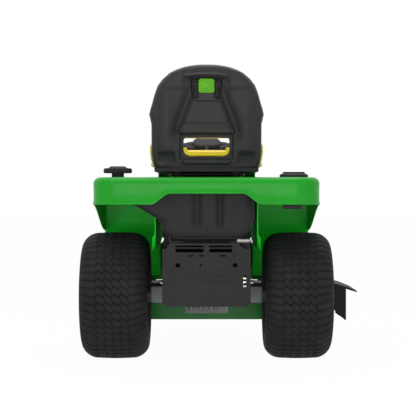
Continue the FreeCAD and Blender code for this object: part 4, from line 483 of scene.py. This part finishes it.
def tube_along(name, path, radius, look, body, closed=False, sides=10):
    """A solid bar that follows a path of points."""
    curve = bpy.data.curves.new(name, "CURVE")
    curve.dimensions = "3D"
    curve.bevel_depth = radius
    curve.bevel_resolution = sides // 2
    curve.use_fill_caps = True
    sp = curve.splines.new("NURBS")
    sp.points.add(len(path) - 1)
    for q, v in zip(sp.points, path):
        q.co = (*v, 1)
    sp.order_u = 4
    sp.use_endpoint_u = not closed
    sp.use_cyclic_u = closed
    curve.resolution_u = 6
    tmp = bpy.data.objects.new(name + "_path", curve)
    bpy.context.scene.collection.objects.link(tmp)
    bpy.context.view_layer.update()
    mesh = bpy.data.meshes.new_from_object(tmp.evaluated_get(bpy.context.evaluated_depsgraph_get()))
    bpy.data.objects.remove(tmp)
    mesh.materials.clear()
    mesh.materials.append(LOOKS[look])
    for p in mesh.polygons:
        p.use_smooth = True
    o = bpy.data.objects.new(name, mesh)
    bpy.context.scene.collection.objects.link(o)
    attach(o, body)
    return o


lip_y, lip_side = rear_y(W_LOW) + 0.012, W_HALF - 0.006
lip_line = [(-lip_side, 0.034), (-lip_side, 0.020), (-0.078, 0.009), (-0.06, 0.0075), (0, 0.0075),
            (0.06, 0.0075), (0.078, 0.009), (lip_side, 0.020), (lip_side, 0.034)]
tube_along("slot_lip", [(CX + x, lip_y, W_LOW + dz) for x, dz in lip_line], 0.0075, "cushion", "seat")


def badge():
    """A plain raised plate with round corners."""
    pts, zc, hw, hh, rad = [], 1.083, 0.031, 0.0285, 0.011
    for sx, sz, a0 in ((1, -1, -90), (1, 1, 0), (-1, 1, 90), (-1, -1, 180)):
        for a in np.radians(np.linspace(a0, a0 + 90, 8)):
            pts.append((sx * (hw - rad) + rad * math.cos(a), zc + sz * (hh - rad) + rad * math.sin(a)))
    k = len(pts)
    verts = []
    for out, scale in ((0.000, 1.0), (0.0055, 1.0), (0.0072, 0.93), (0.0076, 0.0)):
        for x, z in pts:
            z2 = zc + (z - zc) * scale
            verts.append((CX + x * scale, rear_y(z2) + 0.001 - out, z2))
    quads = [tuple(range(k - 1, -1, -1))]
    for lv in range(3):
        for i in range(k):
            j = (i + 1) % k
            quads.append((lv * k + i, lv * k + j, (lv + 1) * k + j, (lv + 1) * k + i))
    return make("bare_badge", verts, quads, "badge_green", "seat")


badge()


def cushion_grid(name, rows, cols, pos_front, pos_rear, look, body, node):
    """A closed pad from a front and a rear sheet that meet along their border."""
    sheets = np.vstack([pos_front.reshape(-1, 3), pos_rear.reshape(-1, 3)])
    o = make(name, sheets, sheet_faces(rows, cols), look, body, node)
    return o


# back cushion: crowned towards the sitter, with two bolsters and three sewn channels
b_lo, b_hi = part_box("back_cushion")
PAD_ROWS, PAD_COLS = 90, 96
pad_z = np.linspace(b_lo.z + 0.004, b_hi.z, PAD_ROWS)[:, None] * np.ones((1, PAD_COLS))
pad_u = np.linspace(-1, 1, PAD_COLS)[None] * np.ones((PAD_ROWS, 1))
swell = 0.010 * band(pad_z, 0.79, 0.862, 0.012) + 0.006 * band(pad_z, 0.94, 0.972, 0.01)
pad_half = np.minimum(half_width(pad_z) - 0.004 + swell, 0.2295)
top_in = np.clip((b_hi.z - pad_z) / 0.05, 0, 1)
pad_x = pad_u * pad_half
rim_fall = np.sqrt(np.clip(1 - np.abs(pad_u) ** 5, 0, 1)) * np.sqrt(np.clip(1 - (1 - top_in) ** 3, 0, 1))
low_in = np.sqrt(np.clip(1 - (1 - np.clip((pad_z - b_lo.z) / 0.03, 0, 1)) ** 3, 0, 1))
pad = 0.014 + 0.054 * rim_fall * low_in
pad += 0.020 * band(np.abs(pad_x), 0.145, 0.205, 0.02) * rim_fall
pad -= 0.010 * (1 - smooth(0.002, 0.011, np.abs(np.abs(pad_x) - 0.132)))
for level in (0.925, 1.000, 1.075):
    pad -= 0.009 * (1 - smooth(0.002, 0.010, np.abs(pad_z - level))) * band(np.abs(pad_x), -1, 0.13, 0.004)
rear_sheet = rear_y(pad_z) + 0.031 + 0.018 * np.abs(pad_u) ** 3 + 0.012 * (1 - rim_fall)
front_sheet = rear_sheet + np.maximum(pad, 0.006)
pad_back = cushion_grid("back_pad", PAD_ROWS, PAD_COLS, np.stack([CX + pad_x, front_sheet, pad_z], -1),
                        np.stack([CX + pad_x, rear_sheet, pad_z], -1), "cushion", "seat", "back_cushion")
carve(pad_back, *rounded_slot(W_HALF + 0.001, W_LOW - 0.001, W_HIGH + 0.001, 0.026,
                              S_REAR - 0.1, S_REAR + 0.3))

# seat cushion: a crowned pan with side bolsters, a rolled front and sewn channels
c_lo, c_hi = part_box("seat_cushion")
PAN_ROWS, PAN_COLS = 100, 110
pan_v = np.linspace(-1, 1, PAN_ROWS)[:, None] * np.ones((1, PAN_COLS))
pan_u = np.linspace(-1, 1, PAN_COLS)[None] * np.ones((PAN_ROWS, 1))
pan_half_x, pan_half_y = (c_hi.x - c_lo.x) / 2, (c_hi.y - c_lo.y) / 2
pan_cx, pan_cy = (c_lo.x + c_hi.x) / 2, (c_lo.y + c_hi.y) / 2
squash = np.sqrt(1 - 0.28 * (pan_v ** 2) * (pan_u ** 2) * 0.9)
pan_x = pan_u * squash * pan_half_x * (1 - 0.018 * (1 - np.abs(pan_v) ** 2) * 0.6)
pan_y = pan_v * squash * pan_half_y * (1 - 0.02 * (1 - np.abs(pan_u) ** 2) * 0.5)
fall = np.sqrt(np.clip(1 - np.abs(pan_u) ** 7, 0, 1)) * np.sqrt(np.clip(1 - np.abs(pan_v) ** 7, 0, 1))
height = (c_hi.z - c_lo.z) * 0.70 * fall + 0.012 * band(np.abs(pan_x), 0.148, 0.215, 0.02) * fall
height += 0.010 * smooth(0.55, 0.85, pan_v) * fall
height -= 0.009 * (1 - smooth(0.002, 0.011, np.abs(np.abs(pan_x) - 0.140))) * fall
for k in (-0.12, 0.16, 0.44):
    seam = 1 - smooth(0.002, 0.010, np.abs(pan_y - k * pan_half_y))
    height -= 0.008 * seam * band(np.abs(pan_x), -1, 0.138, 0.004)
z_low = c_lo.z + 0.016 * (1 - fall)
z_top = np.minimum(c_lo.z + 0.016 + np.maximum(height, 0.0), c_hi.z)
cushion_grid("seat_pad", PAN_ROWS, PAN_COLS, np.stack([pan_cx + pan_x, pan_cy + pan_y, z_top], -1),
             np.stack([pan_cx + pan_x, pan_cy + pan_y, z_low], -1), "cushion", "seat", "seat_cushion")


# ---------------------------------------------------------------- fuel cap
def turned_z(name, centre, profile, look, body, node, ribs, rib_depth, steps=144):
    """A turned piece about a vertical axis, with finger ribs."""
    prof = np.array(profile)
    th = np.linspace(0, 2 * PI, steps, endpoint=False)[:, None]
    R = np.repeat(prof[None, :, 0], steps, 0)
    Z = np.repeat(prof[None, :, 1], steps, 0)
    R = R - rib_depth * smooth(-0.3, 0.4, np.cos(ribs * th)) * prof[None, :, 2]
    P = np.stack([centre[0] + R * np.cos(th), centre[1] + R * np.sin(th), Z], -1).reshape(-1, 3)
    k = len(prof)
    quads = grid_faces(steps, k, True, False)
    quads += [tuple(i * k for i in range(steps)), tuple(i * k + k - 1 for i in range(steps - 1, -1, -1))]
    return make(name, P, quads, look, body, node)


f_lo, f_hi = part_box("fuel_cap")
cap_centre = (f_lo + f_hi) / 2
cap_radius = (f_hi.x - f_lo.x) / 2
z0, z1 = f_lo.z, f_hi.z
# share of the radius, height, and how deep the finger ribs cut there
cap_line = [(0.90, z0, 0), (0.97, z0 + 0.001, 1), (1, z0 + 0.004, 1), (1, z1 - 0.013, 1), (0.98, z1 - 0.010, 1),
            (0.93, z1 - 0.008, 0.4), (0.62, z1 - 0.006, 0), (0.55, z1 - 0.001, 0), (0.50, z1, 0), (0.02, z1, 0)]
cap_line = [(cap_radius * share, z, cut) for share, z, cut in cap_line]
turned_z("ribbed_fuel_cap", cap_centre, cap_line, "black_plastic", "fuel_cap", "fuel_cap", 18, 0.005)


# ---------------------------------------------------------------- steering wheel
w_lo, w_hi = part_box("steering_wheel")
wheel_centre = (w_lo + w_hi) / 2
wheel_radius, grip = (w_hi.x - w_lo.x) / 2, 0.012
TILT = math.radians(25)
AX_U = Vector((1, 0, 0))
AX_V = Vector((0, math.cos(TILT), math.sin(TILT)))
AX_W = Vector((0, -math.sin(TILT), math.cos(TILT)))


def wheel_point(u_, v_, w_):
    return wheel_centre + AX_U * u_ + AX_V * v_ + AX_W * w_


def ring(name, radius, thick, look, n1=180, n2=22):
    points = []
    for i in range(n1):
        a = 2 * PI * i / n1
        flute = 0.0006 * math.cos(20 * a)
        for j in range(n2):
            b = 2 * PI * j / n2
            rr_ = radius + (thick + flute) * math.cos(b)
            points.append(wheel_point(rr_ * math.cos(a), rr_ * math.sin(a), (thick + flute) * math.sin(b)))
    return make(name, points, grid_faces(n1, n2, True, True), look, "steering", "steering_wheel")


def hub_pad(name, half_u, half_v, w0, w1, look, n=72):
    """A pillow of rounded-square sections, square to the steering shaft."""
    levels = [(w0, 0.86), (w0 + 0.004, 0.97), (w0 + 0.010, 1.0), (w1 - 0.016, 1.0), (w1 - 0.007, 0.95),
              (w1 - 0.002, 0.86), (w1, 0.66), (w1 + 0.001, 0.3)]
    points = []
    for w_, k in levels:
        for i in range(n):
            a = 2 * PI * i / n
            e = 3.2
            d = (abs(math.cos(a)) ** e + abs(math.sin(a)) ** e) ** (-1 / e)
            points.append(wheel_point(half_u * k * d * math.cos(a), half_v * k * d * math.sin(a), w_))
    quads = grid_faces(len(levels), n, False, True)
    quads += [tuple(range(n - 1, -1, -1)), tuple((len(levels) - 1) * n + i for i in range(n))]
    return make(name, points, quads, look, "steering")


ring("steering_rim", wheel_radius - grip, grip, "grip")
hub_pad("steering_hub", 0.064, 0.052, -0.030, 0.014, "black_plastic")
hub_pad("steering_wings", 0.114, 0.044, -0.020, -0.002, "black_plastic")
for k, ang in enumerate((0, 180, 270)):
    a = math.radians(ang)
    pts = []
    for t in np.linspace(0.045, wheel_radius - grip, 7):
        dip = -0.012 * math.sin(PI * (t - 0.045) / (wheel_radius - grip - 0.045))
        pts.append(tuple(wheel_point(t * math.cos(a), t * math.sin(a), dip)))
    tube_along(f"steering_spoke_{k}", pts, 0.0095, "black_plastic", "steering")


# ---------------------------------------------------------------- fender
r_lo, r_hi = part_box("rear_fender")
F_HALF, F_BACK, F_FRONT, F_TOP = (r_hi.x - r_lo.x) / 2, r_lo.y, r_lo.y + 0.650, r_hi.z
CORNER, EDGE = 0.105, 0.026


def fender_path():
    """Plan points and outward normals: left side, rear, right side."""
    out = []
    for y in np.linspace(F_FRONT, F_BACK + CORNER, 60)[:-1]:
        out.append((CX - F_HALF, y, -1, 0))
    for a in np.linspace(180, 270, 26)[:-1]:
        c_, s_ = math.cos(math.radians(a)), math.sin(math.radians(a))
        out.append((CX - F_HALF + CORNER + CORNER * c_, F_BACK + CORNER + CORNER * s_, c_, s_))
    for x in np.linspace(CX - F_HALF + CORNER, CX, 90)[:-1]:
        out.append((x, F_BACK, 0, -1))
    left_half = list(out)
    out.append((CX, F_BACK, 0, -1))
    out += [(2 * CX - x, y, -nx, ny) for x, y, nx, ny in reversed(left_half)]
    return out


def skirt_low(x, y):
    """Height of the skirt's lower edge: an arch behind, and a sweep down along each side."""
    far = abs(x - CX)
    low = 0.664 - 0.042 * float(smooth(0.138, 0.214, far))
    if far > F_HALF - CORNER:
        low -= 0.117 * float(smooth(F_BACK + 0.06, F_FRONT + 0.02, y))
    return low


points, path_points = [], fender_path()
for x, y, nx, ny in path_points:
    low = skirt_low(x, y)
    straight, inside = F_TOP - 0.034, EDGE - 0.005
    section = [(0.104, F_TOP), (0.080, F_TOP), (0.052, F_TOP)]
    section += [(EDGE - EDGE * math.sin(a), F_TOP - EDGE + EDGE * math.cos(a))
                for a in np.linspace(0, PI / 2, 12)]
    section += [(0.0006, straight), (0.0012, (straight + low + 0.014) / 2), (0.0008, low + 0.014),
                (-0.0012, low + 0.008), (-0.0016, low + 0.004), (-0.0006, low + 0.001), (0.0020, low),
                (0.0046, low + 0.001), (0.0056, low + 0.005), (0.0056, low + 0.016), (0.0056, straight)]
    section += [(EDGE - inside * math.sin(a), F_TOP - EDGE + inside * math.cos(a))
                for a in np.linspace(PI / 2, 0, 8)]
    section += [(0.104, F_TOP - 0.005)]
    for d, z in section:
        points.append((x - nx * d, y - ny * d, z))
section_size = len(section)
quads = grid_faces(len(path_points), section_size, False, True)
last = (len(path_points) - 1) * section_size
quads += [tuple(range(section_size)), tuple(last + i for i in range(section_size - 1, -1, -1))]
make("fender_band", points, quads, "green_plastic", "chassis", "rear_fender")


def strip(name, profile, x0, x1, thick, look, body, cols=14, bow=0.0):
    """A sheet of even thickness that follows a line in Y and Z."""
    pr = [Vector((0, y, z)) for y, z in profile]
    normals = []
    for i in range(len(pr)):
        d = (pr[min(i + 1, len(pr) - 1)] - pr[max(i - 1, 0)]).normalized()
        normals.append(Vector((0, -d.z, d.y)))
    sheets = []
    for off in (-thick / 2, thick / 2):
        for q, nrm in zip(pr, normals):
            for j in range(cols):
                t = j / (cols - 1)
                v = q + nrm * (off + bow * math.sin(PI * t))
                sheets.append((x0 + (x1 - x0) * t, v.y, v.z))
    return make(name, sheets, sheet_faces(len(pr), cols), look, body)


top_half = F_HALF - CORNER + 0.003
strip("fender_top", [(y, F_TOP - 0.0025) for y in np.linspace(F_BACK + CORNER - 0.003, F_FRONT, 30)],
      CX - top_half, CX + top_half, 0.0048, "green_plastic", "chassis")
# how far the wheel well's front reaches past the fender, and at what height
bend = np.array([(-0.004, 0.722), (-0.003, 0.66), (-0.002, 0.59), (0.002, 0.53), (0.012, 0.48),
                 (0.030, 0.435), (0.052, 0.40), (0.072, 0.36), (0.082, 0.32), (0.084, 0.304)])
steps = np.linspace(0, len(bend) - 1, 55)
fine = list(zip(F_FRONT + np.interp(steps, np.arange(len(bend)), bend[:, 0]),
                np.interp(steps, np.arange(len(bend)), bend[:, 1])))
WALL_ROWS, WALL_COLS, WALL_TOP = 26, 40, F_TOP - 0.006
for sx in (-1, 1):
    hand = "left" if sx < 0 else "right"
    ends = sorted((CX + sx * 0.198, CX + sx * 0.4385))
    strip(f"wheel_well_front_{hand}", fine, ends[0], ends[1], 0.004, "painted_light_well_green", "chassis", 24, 0.006)
    wall_y = np.linspace(F_BACK + 0.068, r_hi.y, WALL_COLS)
    sheets = []
    for off in (0.0, 0.0045):
        for i in range(WALL_ROWS):
            for y in wall_y:
                edge_in = min(y - wall_y[0], 0.05)
                low = 0.442 + 0.05 * (1 - math.sqrt(max(0.0, 1 - (1 - edge_in / 0.05) ** 2)))
                z = low + (WALL_TOP - low) * i / (WALL_ROWS - 1)
                flare = 0.010 * math.exp(-((z - low) / 0.010) ** 2)
                sheets.append((CX + sx * (0.1955 + off + flare), y, z))
    make(f"wheel_well_wall_{hand}", sheets, sheet_faces(WALL_ROWS, WALL_COLS), "painted_light_well_green", "chassis")
strip("seat_pedestal_front", [(F_FRONT - 0.002, z) for z in np.linspace(0.621, 0.724, 12)],
      CX - 0.199, CX + 0.199, 0.004, "green_plastic", "chassis")


# ---------------------------------------------------------------- tank lobes and transaxle fins
t_lo, t_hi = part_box("fuel_tank")
TANK_ROWS, TANK_COLS = 70, 110
tank_z = np.linspace(0.492, 0.690, TANK_ROWS)[:, None] * np.ones((1, TANK_COLS))
tank_u = np.linspace(0, 1, TANK_COLS)[None] * np.ones((TANK_ROWS, 1))
left = np.interp(tank_z, [0.490, 0.515, 0.563, 0.617, 0.640, 0.70],
                 [-0.116, -0.160, -0.180, -0.268, -0.388, -0.390])
right = np.interp(tank_z, [0.490, 0.515, 0.563, 0.70], [0.116, 0.160, 0.180, 0.180])
tank_x = left + (right - left) * tank_u
in_edge = np.minimum(np.minimum(tank_x - left, right - tank_x), tank_z - 0.492)
bulge = 0.016 * np.sqrt(np.clip(1 - (1 - np.clip(in_edge / 0.045, 0, 1)) ** 2, 0, 1))
for at, wide in ((-0.036, 0.016), (0.052, 0.012)):
    groove = np.exp(-((tank_x - at) / wide) ** 2) * smooth(0.52, 0.56, tank_z)
    bulge = bulge - 0.013 * groove * smooth(0, 0.02, in_edge)
bulge += 0.004 * np.exp(-((tank_z - 0.60) / 0.05) ** 2) * smooth(0, 0.03, in_edge)
face = t_lo.y + 0.003 - np.maximum(bulge, 0.0)
lobes_rear = np.stack([tank_x + CX, face, tank_z], -1).reshape(-1, 3)
lobes_front = np.stack([tank_x + CX, np.full_like(face, t_lo.y + 0.012), tank_z], -1).reshape(-1, 3)
make("tank_lobes", np.vstack([lobes_rear, lobes_front]), sheet_faces(TANK_ROWS, TANK_COLS),
     "black_plastic", "chassis")


def block(name, lo, hi, soft, look, body):
    """A small casting rib with rounded edges."""
    mesh = bpy.data.meshes.new(name)
    bm = bmesh.new()
    bmesh.ops.create_cube(bm, size=1.0)
    for v in bm.verts:
        v.co = Vector([(a + b) / 2 + q * (b - a) for a, b, q in zip(lo, hi, v.co)])
    bmesh.ops.bevel(bm, geom=list(bm.edges), offset=soft, segments=3, affect="EDGES", profile=0.5)
    bm.to_mesh(mesh)
    bm.free()
    for q in mesh.polygons:
        q.use_smooth = True
    mesh.materials.append(LOOKS[look])
    o = bpy.data.objects.new(name, mesh)
    bpy.context.scene.collection.objects.link(o)
    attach(o, body)
    return o


block("skirt_lens", (CX + 0.292, F_BACK + 0.002, 0.606), (CX + 0.366, F_BACK + 0.022, 0.6225), 0.006,
      "black_plastic", "chassis")
x_lo, x_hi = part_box("transaxle")
for i, dx in enumerate(np.linspace(-0.072, 0.072, 9)):
    foot = x_lo.z + 0.008 + abs(0.012 * math.sin(i * 2.1))
    at, half = CX + dx + 0.004 * math.sin(i * 5.3), 0.0026 + 0.0022 * abs(math.sin(i * 3.1))
    block(f"sump_fin_{i}", (at - half, x_lo.y - 0.010, foot),
          (at + half, x_lo.y + 0.030, x_lo.z + 0.062), 0.0022, "cast", "chassis")
for i, dx in enumerate((-0.060, -0.022, 0.020, 0.058)):
    at = Vector((CX + dx, x_lo.y - 0.006, x_lo.z + 0.026))
    block(f"sump_boss_{i}", at - Vector((0.009, 0.006, 0.009)), at + Vector((0.009, 0.012, 0.009)), 0.0055,
          "cast", "chassis")


# ---------------------------------------------------------------- stage, light, camera
FLOOR_WHITE = 0.97  # share of pure white in what a view of the floor shows; the rest keeps the shadow


def seen_by_view(tree):
    """1 for camera, glossy and transmission rays, 0 for the light that falls on the mower."""
    path = tree.nodes.new("ShaderNodeLightPath")
    out = path.outputs["Is Camera Ray"]
    for kind in ("Is Glossy Ray", "Is Transmission Ray"):
        either = tree.nodes.new("ShaderNodeMath")
        either.operation = "MAXIMUM"
        tree.links.new(out, either.inputs[0])
        tree.links.new(path.outputs[kind], either.inputs[1])
        out = either.outputs[0]
    return out


def stage_floor():
    mesh = bpy.data.meshes.new("floor")
    mesh.from_pydata([(-30, -30, 0), (30, -30, 0), (30, 30, 0), (-30, 30, 0)], [], [(0, 1, 2, 3)])
    o = bpy.data.objects.new("floor", mesh)
    bpy.context.scene.collection.objects.link(o)
    m = Look("pale_floor", rough=0.9)
    m.colour(m.ramp(m.noise(0.6, 2), [(0.3, (0.90, 0.90, 0.90)), (0.7, (0.92, 0.92, 0.92))]))
    t = m.t
    part = t.nodes.new("ShaderNodeMath")
    part.operation = "MULTIPLY"
    part.inputs[1].default_value = FLOOR_WHITE
    t.links.new(seen_by_view(t), part.inputs[0])
    white = t.nodes.new("ShaderNodeEmission")
    white.inputs["Strength"].default_value = 1.0
    both = t.nodes.new("ShaderNodeMixShader")
    t.links.new(part.outputs[0], both.inputs[0])
    t.links.new(m.bsdf.outputs[0], both.inputs[1])
    t.links.new(white.outputs[0], both.inputs[2])
    t.links.new(both.outputs[0], t.nodes["Material Output"].inputs[0])
    mesh.materials.append(m.mat)


stage_floor()


def lamp(name, at, aim, size, watts):
    data = bpy.data.lights.new(name, "AREA")
    data.shape, data.size, data.size_y, data.energy = "RECTANGLE", size[0], size[1], watts
    o = bpy.data.objects.new(name, data)
    bpy.context.scene.collection.objects.link(o)
    o.location = at
    o.rotation_euler = (Vector(aim) - Vector(at)).to_track_quat("-Z", "Y").to_euler()


lamp("key", (-1.3, -2.0, 3.8), (0, -0.5, 0.7), (1.8, 1.2), 34)
lamp("fill", (2.4, -3.4, 1.5), (0, -0.5, 0.5), (1.6, 1.6), 9)
lamp("low", (-0.4, -4.4, 0.40), (0, -0.4, 0.45), (3.4, 0.6), 38)
lamp("top", (0, 0.0, 3.6), (0, -0.3, 0.5), (2.4, 2.4), 60)
world = bpy.data.worlds.new("studio")
bpy.context.scene.world = world
world.use_nodes = True
wt = world.node_tree
wt.nodes.clear()
lit, seen = wt.nodes.new("ShaderNodeBackground"), wt.nodes.new("ShaderNodeBackground")
lit.inputs["Color"].default_value = (1, 1, 1, 1)
lit.inputs["Strength"].default_value = 0.46
seen.inputs["Color"].default_value = (1, 1, 1, 1)
seen.inputs["Strength"].default_value = 1.0
blend = wt.nodes.new("ShaderNodeMixShader")
wt.links.new(seen_by_view(wt), blend.inputs[0])
wt.links.new(lit.outputs[0], blend.inputs[1])
wt.links.new(seen.outputs[0], blend.inputs[2])
wt.links.new(blend.outputs[0], wt.nodes.new("ShaderNodeOutputWorld").inputs[0])

cam_data = bpy.data.cameras.new("camera")
cam_data.lens, cam_data.sensor_width = 113.5, 36
cam = bpy.data.objects.new("camera", cam_data)
bpy.context.scene.collection.objects.link(cam)
cam.location = (-0.050, -5.895, 0.679)
cam.rotation_euler = (math.radians(90 - 0.79), 0, 0)
bpy.context.scene.camera = cam
bpy.context.scene.view_settings.view_transform = "Standard"

bpy.context.view_layer.update()
